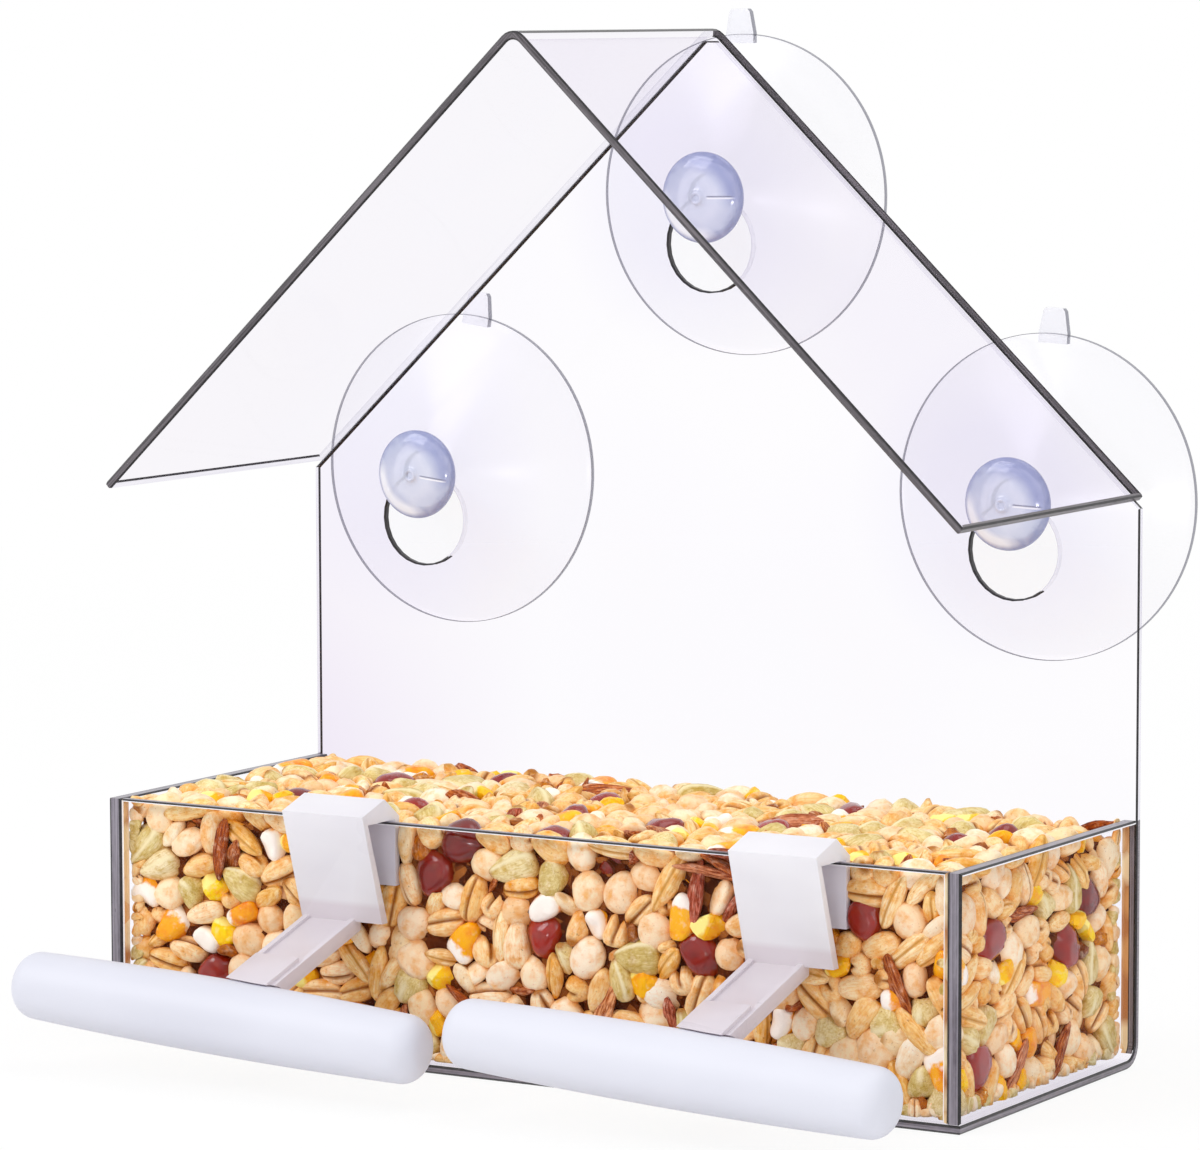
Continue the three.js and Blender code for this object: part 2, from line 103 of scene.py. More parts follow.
class Paint:
    """A material or a world, and short ways to add and join its nodes. A colour with three numbers is a
    screen's."""

    def __init__(self, name, group=None):
        self.owner = (bpy.data.materials if group is None else group).new(name)
        self.owner.use_nodes = True
        self.nodes, self.links = self.owner.node_tree.nodes, self.owner.node_tree.links
        self.nodes.clear()

    def node(self, kind, sockets=None, **settings):
        """A new node, with a value or a link for each socket that is named."""
        node = self.nodes.new("ShaderNode" + kind)
        for key, value in settings.items():
            setattr(node, key, value)
        for key, value in (sockets or {}).items():
            socket = node.inputs[key]
            if isinstance(value, bpy.types.NodeSocket):
                self.links.new(value, socket)
            elif socket.type == "RGBA" and len(value) == 3:
                socket.default_value = srgb(*value)
            else:
                socket.default_value = value
        return node

    def add(self, kind, sockets=None, output=0, **settings):
        """One output of a new node."""
        return self.node(kind, sockets, **settings).outputs[output]

    def attribute(self, name, output="Vector"):
        return self.add("Attribute", None, output, attribute_name=name)

    def place(self):
        return self.add("TexCoord", None, "Object")

    def axes(self, vector):
        return self.node("SeparateXYZ", {0: vector}).outputs[:]

    def scaled(self, vector, scale):
        return self.add("VectorMath", {0: vector, 1: scale}, operation="MULTIPLY")

    def length(self, vector):
        return self.add("VectorMath", {0: vector}, "Value", operation="LENGTH")

    def noise(self, vector, scale, detail=3.0, rough=0.55):
        sockets = {"Vector": vector, "Scale": scale, "Detail": detail, "Roughness": rough}
        return self.add("TexNoise", sockets, "Fac")

    def cells(self, vector, scale=1.0):
        """Cells of a Voronoi pattern: a shade for each, and the distance from its middle."""
        made = self.node("TexVoronoi", {"Vector": vector, "Scale": scale}).outputs
        return self.add("SeparateColor", {0: made["Color"]}), made["Distance"]

    def ramp(self, factor, *stops):
        """Each stop is its place and a screen colour."""
        node = self.node("ValToRGB", {"Fac": factor})
        parts = node.color_ramp.elements
        while len(parts) < len(stops):
            parts.new(0.5)
        for part, (place, *colour) in zip(parts, stops):
            part.position = place
            part.color = srgb(*colour)
        return node.outputs["Color"]

    def span(self, value, low, high, new_low=0.0, new_high=1.0):
        sockets = {"Value": value, "From Min": low, "From Max": high, "To Min": new_low, "To Max": new_high}
        return self.add("MapRange", sockets, "Result")

    def math(self, operation, a, b=0.0):
        return self.add("Math", {0: a, 1: b}, operation=operation)

    def times(self, a, b):
        return self.math("MULTIPLY", a, b)

    def plus(self, a, b):
        return self.math("ADD", a, b)

    def near(self, value, middle, full, end):
        """1 where a value lies within full of the middle, falling to 0 at end."""
        return self.span(self.math("ABSOLUTE", self.plus(value, -middle)), full, end, 1.0, 0.0)

    def mix(self, factor, a, b, blend="MIX"):
        return self.add("Mix", {0: factor, 6: a, 7: b}, 2, data_type="RGBA", blend_type=blend)

    def bump(self, height, distance, strength=0.5):
        sockets = {"Height": height, "Distance": distance * MM, "Strength": strength}
        return self.add("Bump", sockets)

    def solid(self, **sockets):
        names = {key.replace("_", " ").title().replace("Ior", "IOR"): value for key, value in sockets.items()}
        return self.add("BsdfPrincipled", names)

    def clear(self, tint):
        return self.add("BsdfTransparent", {"Color": tint})

    def blend(self, share, a, b):
        return self.add("MixShader", {0: share, 1: a, 2: b})

    def gloss_share(self, least, most):
        """How much a clear face reflects: least straight on, most at a grazing angle."""
        facing = self.add("LayerWeight", {"Blend": 0.5}, "Facing")
        return self.span(self.math("POWER", facing, 4.0), 0.0, 1.0, least, most)

    def glassy(self, body, least, most, roughness):
        """A gloss over a clear or milky body."""
        gloss = self.add("BsdfGlossy", {"Roughness": roughness})
        return self.blend(self.gloss_share(least, most), body, gloss)

    def done(self, shader, output="OutputMaterial"):
        self.links.new(shader, self.node(output).inputs["Surface"])
        return self.owner


def clear_sheet(name, blush=None):
    """The big faces of a sheet: nearly invisible, faintly lavender, deeper at a grazing angle, softly glossy.
    A blush is a faint lavender tint before each cup, which comes with a faint shade in the lower left."""
    paint = Paint(name)
    place = paint.place()
    cloud = paint.noise(place, 14.0, 2.0)
    tint = paint.ramp(cloud, (0.35, 254.6, 254, 255), (0.5, 254, 253.3, 255), (0.66, 254, 253, 254.4))
    tint = paint.mix(paint.gloss_share(0.0, 1.0), tint, (243, 241, 246))
    if blush:
        across, _, up = paint.axes(place)
        flat = paint.add("CombineXYZ", {0: across, 2: up})
        near = 0.0
        for x, z, _ in CUPS.values():
            centre = Vector((x + BLOOM_SHIFT, 0, z)) * MM
            away = paint.add("VectorMath", {0: flat, 1: centre}, "Value", operation="DISTANCE")
            near = paint.math("MAXIMUM", near, paint.span(away, BLOOM_FULL * MM, BLOOM_END * MM, 1.0, 0.0))
        tint = paint.mix(near, tint, blush, "MULTIPLY")
        left = paint.span(across, SHADE_X[0] * MM, SHADE_X[1] * MM, 1.0, 0.0)
        low = paint.span(up, SHADE_Z[0] * MM, SHADE_Z[1] * MM, 1.0, 0.0)
        tint = paint.mix(paint.times(left, low), tint, (249, 246, 251), "MULTIPLY")
    return paint.done(paint.glassy(paint.clear(tint), 0.003, 0.05, 0.04))


def edge_core(name, dark, middle, light, bubbles=0.0):
    """The cut edge of a sheet: three shades, partly the sawn edge's own grey and partly painted shade, with
    saw streaks along it and sometimes small bubbles.
    """
    paint = Paint(name)
    place = paint.attribute("edge_place")
    streaks = paint.noise(paint.scaled(place, (0.035, 3.4, 0.0)), 1.0, 4.0, 0.6)
    specks = paint.noise(paint.scaled(place, (0.5, 1.6, 0.0)), 1.0, 3.0, 0.6)
    colour = paint.ramp(streaks, (0.32, *dark), (0.5, *middle), (0.68, *light))
    colour = paint.mix(paint.span(specks, 0.45, 0.75, 0.0, 0.4), colour, light)
    if bubbles:
        away = paint.cells(paint.scaled(place, (0.45, 1.1, 0.0)))[1]
        ring = paint.span(away, 0.10, 0.16, 1.0, 0.0)
        rare = paint.span(specks, 0.54, 0.58, 0.0, bubbles)
        colour = paint.mix(paint.times(ring, rare), colour, dark)
    normal = paint.bump(streaks, 0.06, 0.4)
    return paint.done(paint.solid(base_color=colour, roughness=0.3, normal=normal))


def plain_edge(name, scale, one, other, roughness):
    """A thin strip beside a cut edge in two close shades: near black for the painted dark lines, white for
    the painted glints.
    """
    paint = Paint(name)
    colour = paint.ramp(paint.noise(paint.place(), scale), (0.4, *one), (0.7, *other))
    return paint.done(paint.solid(base_color=colour, roughness=roughness))


def edge_mirror():
    """The glued ends of the walls, painted with a reflection of the seed beside them."""
    paint = Paint("edge_mirror")
    shade, away = paint.cells(paint.scaled(paint.place(), (420, 420, 230)))
    colour = paint.ramp(shade, (0.1, 224, 164, 102), (0.4, 246, 208, 154), (0.75, 252, 230, 188))
    colour = paint.mix(paint.span(away, 0.45, 0.8), colour, (196, 132, 80))
    return paint.done(paint.solid(base_color=colour, roughness=0.4))


def pale_edge():
    """Polished cut edges, which show only a faint grey."""
    paint = Paint("edge_pale")
    streaks = paint.noise(paint.scaled(paint.attribute("edge_place"), (0.05, 2.0, 0.0)), 1.0, 3.0)
    tint = paint.ramp(streaks, (0.4, 240, 239, 245), (0.6, 250, 249, 253))
    skin = paint.solid(base_color=(226, 225, 233), roughness=0.2)
    return paint.done(paint.blend(0.12, paint.clear(tint), skin))


def vinyl(name, tint, skin, cover, roughness, deepen=0.0):
    """Soft clear vinyl: light passes through a tint, under a milky skin that covers part of it. Deepen adds
    to the skin's cover towards the top left of a cup as painted shade, and a clear wedge stays free of it at
    the right as a painted highlight."""
    paint = Paint(name)
    place = paint.attribute("cup_place")
    right, _, up = paint.axes(place)
    ripple = paint.noise(paint.scaled(place, (0.25, 0.25, 0.25)), 1.0, 2.0)
    if deepen:
        # Painted highlight: the clear wedge at the right; painted shade: more cover towards the top left.
        wedge = paint.near(paint.math("ARCTAN2", up, right), -0.12, 0.12, 0.5)
        lean = paint.plus(paint.times(right, -0.5), paint.times(up, 0.8))
        more = paint.span(lean, -8.0, 22.0, 0.0, deepen)
        more = paint.plus(more, paint.span(ripple, 0.3, 0.7, 0.0, deepen / 4))
        cover = paint.times(paint.plus(more, cover), paint.span(wedge, 0.0, 1.0, 1.0, 0.1))
    body = paint.solid(base_color=skin, roughness=roughness, normal=paint.bump(ripple, 0.25, 0.25))
    body = paint.blend(cover, paint.clear(tint), body)
    return paint.done(paint.glassy(body, 0.02, 0.25, roughness))


def knob_vinyl():
    """The mushroom head: lavender blue, with painted shade deep at the upper right and towards the rim, paler
    in the middle as painted light, with a white crescent at the lower left as a painted highlight and a fine
    parting line with a painted glint under it."""
    paint = Paint("knob_vinyl")
    place = paint.attribute("cup_place")
    across, _, up = paint.axes(place)
    out = paint.length(paint.add("CombineXYZ", {0: across, 1: up}))
    cloud = paint.noise(place, 0.35, 3.0)
    radial = paint.plus(paint.span(out, 0.0, HEAD_RADIUS), paint.span(cloud, 0.3, 0.7, -0.1, 0.1))
    # Painted light and shade across the head: palest a little way out from the middle, deeper blue towards
    # the rim.
    colour = paint.ramp(radial, (0.0, 200, 205, 226), (0.45, 212, 216, 234), (0.8, 192, 198, 223),
                        (0.97, 158, 164, 200))
    # Painted shade, deep blue at the upper right.
    lean = paint.plus(paint.times(across, 0.62), paint.times(up, 0.78))
    deep = paint.times(paint.span(lean, 1.5, 4.0), paint.span(out, 3.6, 5.4))
    deep = paint.times(deep, paint.span(out, 5.9, 6.9, 0.8, 0.3))
    colour = paint.mix(deep, colour, (138, 148, 196))
    # Painted highlight: a white crescent at the lower left.
    crescent = paint.times(paint.span(lean, -2.4, -4.4), paint.span(out, 4.4, 5.4))
    crescent = paint.times(crescent, paint.span(out, 6.2, 6.9, 1.0, 0.0))
    colour = paint.mix(crescent, colour, (250, 250, 255))
    # The parting line is the head's own; the white line under it is a painted glint.
    reach = paint.times(paint.span(across, 1.6, 2.0), paint.span(across, 5.6, 6.4, 1.0, 0.0))
    line = paint.times(paint.near(up, 0.2, 0.06, 0.14), reach)
    glint = paint.times(paint.near(up, -0.1, 0.06, 0.16), reach)
    colour = paint.mix(glint, colour, (246, 246, 252))
    colour = paint.mix(paint.times(line, 0.85), colour, (96, 98, 126))
    skin = paint.solid(base_color=colour, roughness=0.14, normal=paint.bump(line, 0.12, 0.6), coat_weight=0.4)
    return paint.done(paint.blend(0.8, paint.clear((222, 224, 240)), skin))


def moulded(name, low, high, roughness, scale, glow=0.0, fade=None):
    """Milky moulded plastic with faint flow marks. Glow is the share of light that comes through from behind.
    Fade is a height in millimetres and a tint of painted shade for what lies below it."""
    paint = Paint(name)
    place = paint.place()
    flow = paint.noise(paint.scaled(place, (0.5, 1.0, 1.0)), scale, 3.0)
    fine = paint.noise(place, 2600.0, 2.0)
    colour = paint.ramp(flow, (0.32, *low), (0.68, *high))
    if fade:
        height, tint = fade
        lower = paint.span(paint.axes(place)[2], (height - 0.5) * MM, (height + 0.5) * MM, 1.0, 0.0)
        colour = paint.mix(lower, colour, tint, "MULTIPLY")
    rough = paint.span(flow, 0.3, 0.7, roughness - 0.05, roughness + 0.08)
    normal = paint.bump(fine, 0.02, 0.3)
    body = paint.solid(base_color=colour, roughness=rough, normal=normal, specular_ior_level=0.35)
    if glow:
        body = paint.blend(glow, body, paint.add("BsdfTranslucent", {"Color": colour}))
    return paint.done(body)


def seed_skin(name, tints, blotch, streak=0.0, tip=None, crease=None, cap=None, roughness=0.5, coat=0.0,
              grain=0.12, specks=0.5, patch=0.4):
    """A kernel's skin. Each seed takes its own tint; blotches, patches, specks, streaks, tips, creases and
    caps go over it, and the deeper a point lies in the heap, the warmer and darker it is, as painted shade."""
    paint = Paint("skin_" + name)
    grains = paint.attribute("seed_grain")
    along, side, top = paint.axes(paint.attribute("seed_shape"))
    steps = [(n / (len(tints) - 1), *tint) for n, tint in enumerate(tints)]
    colour = paint.ramp(paint.attribute("seed_tint", "Fac"), *steps)
    cloud = paint.noise(grains, 0.55, 4.0)
    colour = paint.mix(paint.span(cloud, 0.45, 0.72, 0.0, 0.8), colour, blotch, "MULTIPLY")
    light = paint.noise(grains, 0.9, 2.0)
    colour = paint.mix(paint.span(light, 0.5, 0.75, 0.0, patch), colour, (255, 244, 222))
    fine = paint.noise(paint.scaled(grains, (0.25, 2.2, 2.2)), 1.6, 3.0)
    if streak:
        colour = paint.mix(paint.span(fine, 0.42, 0.62, 0.0, streak), colour, blotch, "MULTIPLY")
    if specks:
        spots = paint.noise(grains, 2.4, 2.0)
        colour = paint.mix(paint.span(spots, 0.66, 0.72, 0.0, specks), colour, (150, 92, 54))
    if cap:
        edge = paint.plus(along, paint.span(cloud, 0.3, 0.7, -0.2, 0.2))
        colour = paint.mix(paint.span(edge, 0.15, 0.35), colour, cap)
    if tip:
        colour = paint.mix(paint.span(along, 0.80, 0.96, 0.0, 0.9), colour, tip)
    # The crease: for wheat and oat a darker line, partly the grain's own colour and partly painted shade in
    # the groove.
    if crease:
        groove = paint.times(paint.near(side, 0.0, 0.03, 0.2), paint.span(top, 0.2, 0.6))
        colour = paint.mix(paint.times(groove, 0.9), colour, crease)
    # Painted shade: warmer and darker the deeper a point lies in the heap.
    depth = paint.span(paint.attribute("seed_depth", "Fac"), 0.0, 8.0)
    shade = paint.ramp(depth, (0.08, 255, 255, 255), (0.3, 228, 188, 146), (0.6, 180, 112, 64),
                       (1.0, 120, 60, 26))
    colour = paint.mix(1.0, colour, shade, "MULTIPLY")
    warmer = {"Hue": 0.506, "Saturation": 1.14, "Value": 1.1, "Color": colour}
    colour = paint.add("HueSaturation", warmer)
    return paint.done(paint.solid(base_color=colour, roughness=roughness, normal=paint.bump(fine, grain, 0.7),
                                  coat_weight=coat, specular_ior_level=0.28))


def husk_dust_and_shade():
    paint = Paint("husk_dust_and_shade")
    place = paint.place()
    shade = paint.cells(place, 700.0)[0]
    # Dark brown cells: partly husk dust, partly painted shade deep in the heap.
    colour = paint.ramp(shade, (0.1, 80, 34, 10), (0.5, 120, 58, 20), (0.9, 172, 104, 46))
    cloud = paint.noise(place, 200.0)
    dark = paint.span(cloud, 0.35, 0.6, 0.6, 0.0)
    colour = paint.mix(dark, colour, (110, 54, 28), "MULTIPLY")
    return paint.done(paint.solid(base_color=colour, roughness=0.9, normal=paint.bump(cloud, 0.6),
                                  specular_ior_level=0.1))


# Meshes

def linked(name, mesh, materials):
    """A new object with this mesh and these materials, in the scene."""
    piece = bpy.data.objects.new(name, mesh)
    bpy.context.scene.collection.objects.link(piece)
    for material in materials:
        mesh.materials.append(material)
    return piece


def mesh_piece(name, places, faces, materials, slots=None, smooth=True):
    mesh = bpy.data.meshes.new(name)
    mesh.from_pydata([tuple(p) for p in np.asarray(places, float) * MM], [], faces)
    piece = linked(name, mesh, materials)
    if slots is not None:
        mesh.polygons.foreach_set("material_index", slots)
    mesh.polygons.foreach_set("use_smooth", [smooth] * len(mesh.polygons))
    mesh.update()
    return piece


def shape_piece(name, shape, materials):
    """A piece from a bmesh in millimetres, which is used up."""
    bmesh.ops.transform(shape, matrix=Matrix.Scale(MM, 4), verts=shape.verts)
    mesh = bpy.data.meshes.new(name)
    shape.to_mesh(mesh)
    shape.free()
    return linked(name, mesh, materials)


def settle_in(piece, body, slot, *nodes):
    """The piece moves with a body and stands for these nodes. The slot is not used."""
    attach(piece, body)
    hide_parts(*nodes)


def attribute(mesh, name, values, domain="POINT"):
    """A number or a vector for each point or corner of a mesh, for its material."""
    kind, key = ("FLOAT", "value") if values.ndim == 1 else ("FLOAT_VECTOR", "vector")
    mesh.attributes.new(name, kind, domain).data.foreach_set(key, np.asarray(values, np.float32).ravel())


def sharpen(mesh, degrees):
    """Smooth shading that stops at edges sharper than this."""
    shape = bmesh.new()
    shape.from_mesh(mesh)
    bmesh.ops.recalc_face_normals(shape, faces=shape.faces)
    for edge in shape.edges:
        edge.smooth = len(edge.link_faces) == 2 and edge.calc_face_angle(0) < math.radians(degrees)
    shape.to_mesh(mesh)
    shape.free()


# Sheets. Each is the model's own solid with its long edges broken by a fine chamfer.

# Slots of a sheet's finishes: FACE is clear; CORE is a cut edge's band, its own grey and painted shade; LINE
# is a painted dark line; GLINT is a painted highlight beside an edge; PALE is a faint grey; MIRROR is a
# painted reflection of the seed. Which edge is dark and which is pale is painted face by face for the
# camera's view.
FACE, CORE, LINE, GLINT, PALE, MIRROR = range(6)
CHAMFER = 0.26
RING, ROOF_RING, FRONT_RING = 0.2, 0.4, 0.12  # a strip of a big face along its edges, for another finish, such as a painted glint
OUTLINE = 0.16  # a painted dark strip along both sides of a cut edge
CORNER = HALF_WIDTH - 2.0  # where the gable's edge comes to the side's
GLUE = SIDE_LOW[0] + 1.05  # the glued end of a side wall shows a painted reflection of the seed from its inner face to here
EDGE_BAND = 0.6  # a face whose middle lies this near to a wall's edge belongs to that edge
EAVE_BAND = 2.0  # the same for the eaves and for the gable's lower end
SIDE_BAND = 0.5  # the same for the sides of the back and the seams at the rim and floor
RIM_BAND = 1.2  # the same for the painted bright strip, a highlight, under a side wall's rim
RIDGE_HALF, RIDGE_DEEP, RIDGE_TILT = 1.9, 1.2, 0.45  # the painted dark band on the ridge's bend, and how level it is
HOLE_REACH = 13.0  # a face this near to the middle of a keyhole is its wall
FLAT_ANGLE = math.radians(1.0)  # faces that differ less are joined
JOIN = 0.002  # points that lie nearer are one


def solid_of(node):
    """The model's solid as a bmesh in millimetres, its flat faces joined up."""
    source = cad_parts[node]
    shape = bmesh.new()
    shape.from_mesh(source.data)
    bmesh.ops.transform(shape, matrix=Matrix.Scale(1 / MM, 4) @ source.matrix_world, verts=shape.verts)
    bmesh.ops.remove_doubles(shape, verts=shape.verts, dist=JOIN)
    bmesh.ops.dissolve_limit(shape, angle_limit=FLAT_ANGLE, verts=shape.verts, edges=shape.edges)
    shape.normal_update()
    return shape


def edge_places(mesh):
    """Per corner, how far along and across its face a point lies, so that streaks can follow each edge."""
    values = np.zeros((len(mesh.loops), 3))
    for face in mesh.polygons:
        points = [mesh.vertices[v].co for v in face.vertices]
        sides = [(points[n] - points[n - 1]) for n in range(len(points))]
        along = max(sides, key=lambda side: side.length).normalized()
        across = face.normal.cross(along)
        for loop in face.loop_indices:
            place = mesh.vertices[mesh.loops[loop].vertex_index].co
            values[loop] = (place.dot(along) / MM, place.dot(across) / MM, 0)
    attribute(mesh, "edge_place", values, "CORNER")


def sheet_piece(node, materials, is_edge, finish, ring=RING, outline=0.0, cuts=()):
    """is_edge says which faces are cut edges. finish gives a face's slot from its normal, middle and kind.
    Cuts are planes, as axis and place, that divide the faces first, so that parts of one edge can differ."""
    shape = solid_of(node)
    for axis, place in cuts:
        everything = shape.verts[:] + shape.edges[:] + shape.faces[:]
        plane = Vector((0, 0, 0))
        plane["XYZ".index(axis)] = 1
        bmesh.ops.bisect_plane(shape, geom=everything, plane_co=plane * place, plane_no=plane, dist=JOIN / 2)
    kind = shape.faces.layers.int.new("kind")
    for face in shape.faces:
        face[kind] = CORE if is_edge(face.normal, face.calc_center_median()) else FACE
    rims = [edge for edge in shape.edges
            if len(edge.link_faces) == 2 and {face[kind] for face in edge.link_faces} == {FACE, CORE}]
    made = bmesh.ops.bevel(shape, geom=rims, offset=CHAMFER, segments=1, profile=0.5, affect="EDGES",
                           clamp_overlap=True)
    for face in made["faces"]:
        face[kind] = LINE
    for old, new, width in ((FACE, GLINT, ring), (CORE, LINE, outline)):
        faces = [face for face in shape.faces if face[kind] == old]
        if width:
            made = bmesh.ops.inset_region(shape, faces=faces, thickness=width, use_even_offset=True)
            for face in made["faces"]:
                face[kind] = new
    shape.normal_update()
    for face in shape.faces:
        face.material_index = finish(face.normal, face.calc_center_median(), face[kind])
    piece = shape_piece(node + "_clear", shape, materials)
    edge_places(piece.data)
    settle_in(piece, "house", "acrylic", node)


def roof_piece(materials):
    eave_line, end_line = ROOF_HIGH[0] - EAVE_BAND, ROOF_HIGH[1] - EAVE_BAND
    ridge_line = ROOF_HIGH[2] - RIDGE_DEEP

    def is_edge(normal, middle):
        below = normal.z < 0 and normal.x * middle.x > 0
        return abs(normal.y) > 0.9 or (abs(middle.x) > eave_line and below)

    def finish(normal, middle, kind):
        left, outer = middle.x < 0, normal.z > 0.05
        eave = abs(middle.x) > eave_line and abs(middle.y) < end_line
        # Painted shade: a dark band on the ridge's bend and a dark strip beside the right eave; the left eave
        # keeps one dark line, and the left half's rear edges stay pale.
        if kind == FACE:
            bend = abs(middle.x) < RIDGE_HALF and outer and middle.z > ridge_line
            return LINE if bend and abs(normal.x) < RIDGE_TILT else FACE
        if kind == GLINT:
            return CORE if eave and outer and not left else FACE
        if eave and left:
            return LINE if kind == LINE and abs(normal.x) > 0.8 else PALE
        return PALE if left and middle.y >= 0 else kind

    sheet_piece("roof_sheet", materials, is_edge, finish, ring=ROOF_RING, cuts=[("X", 0)])


def back_piece(materials):
    gable_line, side_line = ROOF_LOW[2] - EAVE_BAND, HALF_WIDTH - SIDE_BAND
    holes = [(x, z - KEYHOLE_DROP / 2) for x, z, _ in CUPS.values()]

    def in_hole(middle):
        return any(math.hypot(middle.x - x, middle.z - z) < HOLE_REACH for x, z in holes)

    def is_edge(normal, middle):
        side = abs(normal.x) > 0.9 and abs(middle.x) > side_line
        gable = normal.z > 0.5 and abs(normal.y) < 0.1 and middle.z > gable_line and not in_hole(middle)
        front = normal.y < -0.9 and middle.z < SHEET
        hole = abs(normal.y) < 0.1 and in_hole(middle) and middle.z > RIM
        return side or gable or front or hole

    def finish(normal, middle, kind):
        if kind in (FACE, GLINT):
            return FACE
        if middle.z <= RIM + SIDE_BAND:
            return kind
        # Painted shade: in a keyhole, the walls that face right or up are dark lines and the rest pale; above
        # the rim, edges are dark or pale by their side.
        if in_hole(middle) and abs(middle.x) < CORNER:
            return LINE if normal.x > 0.3 or (normal.z > 0.25 and normal.x > -0.4) else PALE
        if abs(normal.z) > 0.3:
            return LINE if (middle.x < 0 or middle.x > CORNER) and normal.y > -0.3 else PALE
        if middle.x < 0:
            return LINE if kind == LINE and normal.y > 0.3 else PALE
        return LINE if normal.y < -0.3 else PALE

    cuts = [("Z", RIM), ("X", CORNER), ("X", -CORNER)]
    sheet_piece("back_and_floor_sheet", materials, is_edge, finish, outline=OUTLINE / 2, cuts=cuts)


def front_piece(materials):
    centre = (PANEL_LOW[1] + PANEL_HIGH[1]) / 2

    def is_edge(normal, middle):
        return abs(normal.y) < 0.5

    def finish(normal, middle, kind):
        front = middle.y < centre
        # A painted glint runs along the front face's top and sides, the glued side edges take a painted
        # reflection of the seed, and the rim keeps its painted grey core and dark line.
        if kind == FACE:
            return FACE
        if kind == GLINT:
            return GLINT if front and middle.z > PANEL_LOW[2] + SIDE_BAND else FACE
        if abs(normal.x) > 0.3:
            return MIRROR
        rim = middle.z > RIM - EDGE_BAND and normal.z > 0.3
        return kind if rim and (front or kind == CORE) else FACE

    sheet_piece("front_panel", materials, is_edge, finish, ring=FRONT_RING)


def side_piece(node, side, materials):
    centre = (SIDE_LOW[0] + SIDE_HIGH[0]) / 2

    def is_edge(normal, middle):
        return abs(normal.x) < 0.5

    def finish(normal, middle, kind):
        out = side * middle.x
        # A painted bright strip, a highlight, runs under the rim on the outer face; the glued rear end takes
        # a painted reflection of the seed with a dark line beside it, and the rim and front edges keep their
        # painted grey and dark lines.
        if kind == FACE:
            return FACE
        if kind == GLINT:
            return GLINT if out > centre and middle.z > RIM - RIM_BAND else FACE
        if normal.y > 0.3 and middle.y > SIDE_HIGH[1] - EDGE_BAND:
            return MIRROR if out < GLUE else LINE if out < GLUE + OUTLINE else kind
        rim = middle.z > RIM - EDGE_BAND and normal.z > 0.3
        front = middle.y < SIDE_LOW[1] + EDGE_BAND and normal.y < -0.3
        return kind if rim or front else FACE

    cuts = [("X", side * GLUE), ("X", side * (GLUE + OUTLINE))]
    sheet_piece(node, materials, is_edge, finish, outline=OUTLINE, cuts=cuts)


# Suction cups

DISC, HEAD, CUP_RIM, TAB = range(4)  # slots of a cup's materials; the rim's is a painted dark outline
AROUND = 112
MARK = ((0, -0.3), (0.45, -0.3), (0.62, -0.05), (0.8, 0), (0.98, -0.05), (1.15, -0.32))  # on the nub
FILLET = 0.3  # where the neck meets the head and the shoulder
SHOULDER_ROUND = 0.5
TAB_BEVEL = 0.16


def bezier(start, control, end, steps):
    share = np.linspace(0, 1, steps + 1)[:, None]
    start, control, end = map(np.array, (start, control, end))
    return [tuple(p) for p in start * (1 - share) ** 2 + control * 2 * share * (1 - share) + end * share ** 2]


def bend(out, up, radius, start, end, steps):
    angles = np.radians(np.linspace(start, end, steps + 1))
    return [(out + radius * math.cos(a), up + radius * math.sin(a)) for a in angles]


def cup_outline():
    """Half the outline of a cup with the slot of each stretch: distance from the axis, then from the pane."""
    widest = HEAD_SEAT + HEAD_EDGE
    top = widest + HEAD_DOME + NUB_HEIGHT
    start = math.acos(NUB_RADIUS / HEAD_RADIUS)
    dome = [(HEAD_RADIUS * math.cos(a), widest + HEAD_DOME * math.sin(a)) for a in np.linspace(start, 0, 15)]
    nub = [(out, top + up) for out, up in MARK]
    side = bend(HEAD_RADIUS - HEAD_EDGE, widest, HEAD_EDGE, 0, -90, 7)[1:]
    neck = [(NECK_RADIUS + FILLET, HEAD_SEAT), (NECK_RADIUS, HEAD_SEAT - FILLET),
            (NECK_RADIUS, SHOULDER + FILLET), (NECK_RADIUS + FILLET, SHOULDER)]
    round_out, round_up = SHOULDER_RADIUS - SHOULDER_ROUND, SHOULDER - SHOULDER_ROUND
    shoulder = bend(round_out, round_up, SHOULDER_ROUND, 90, 30, 3)
    cone = bezier((SHOULDER_RADIUS, round_up), WAIST, (CUP_RADIUS - 0.1, CUP_EDGE), 22)
    rim = [(CUP_RADIUS, CUP_EDGE - 0.1), (CUP_RADIUS, 0.05), (CUP_RADIUS - 0.05, 0)]
    hollow = bezier((CUP_RADIUS - CUP_LAND, 0), HOLLOW_WAIST, (0, HOLLOW_TOP), 16)
    parts = ((nub + dome + side, HEAD), (neck + shoulder + cone, DISC), (rim, CUP_RIM), (hollow, DISC))
    points, slots = [], []
    for stretch, slot in parts:
        points += stretch
        slots += [slot] * len(stretch)
    return points, slots[1:]


def ring_faces(rings, around):
    """Faces of a closed solid of rings between two poles, and for each the number of its stretch from the
    first pole."""
    faces, last = [], 1 + rings * around
    for n in range(around):
        m = (n + 1) % around
        faces.append((0, 1 + n, 1 + m))
        for a in range(1, last - around, around):
            faces.append((a + n, a + around + n, a + around + m, a + m))
        faces.append((last - around + n, last, last - around + m))
    return faces, list(range(rings + 1)) * around


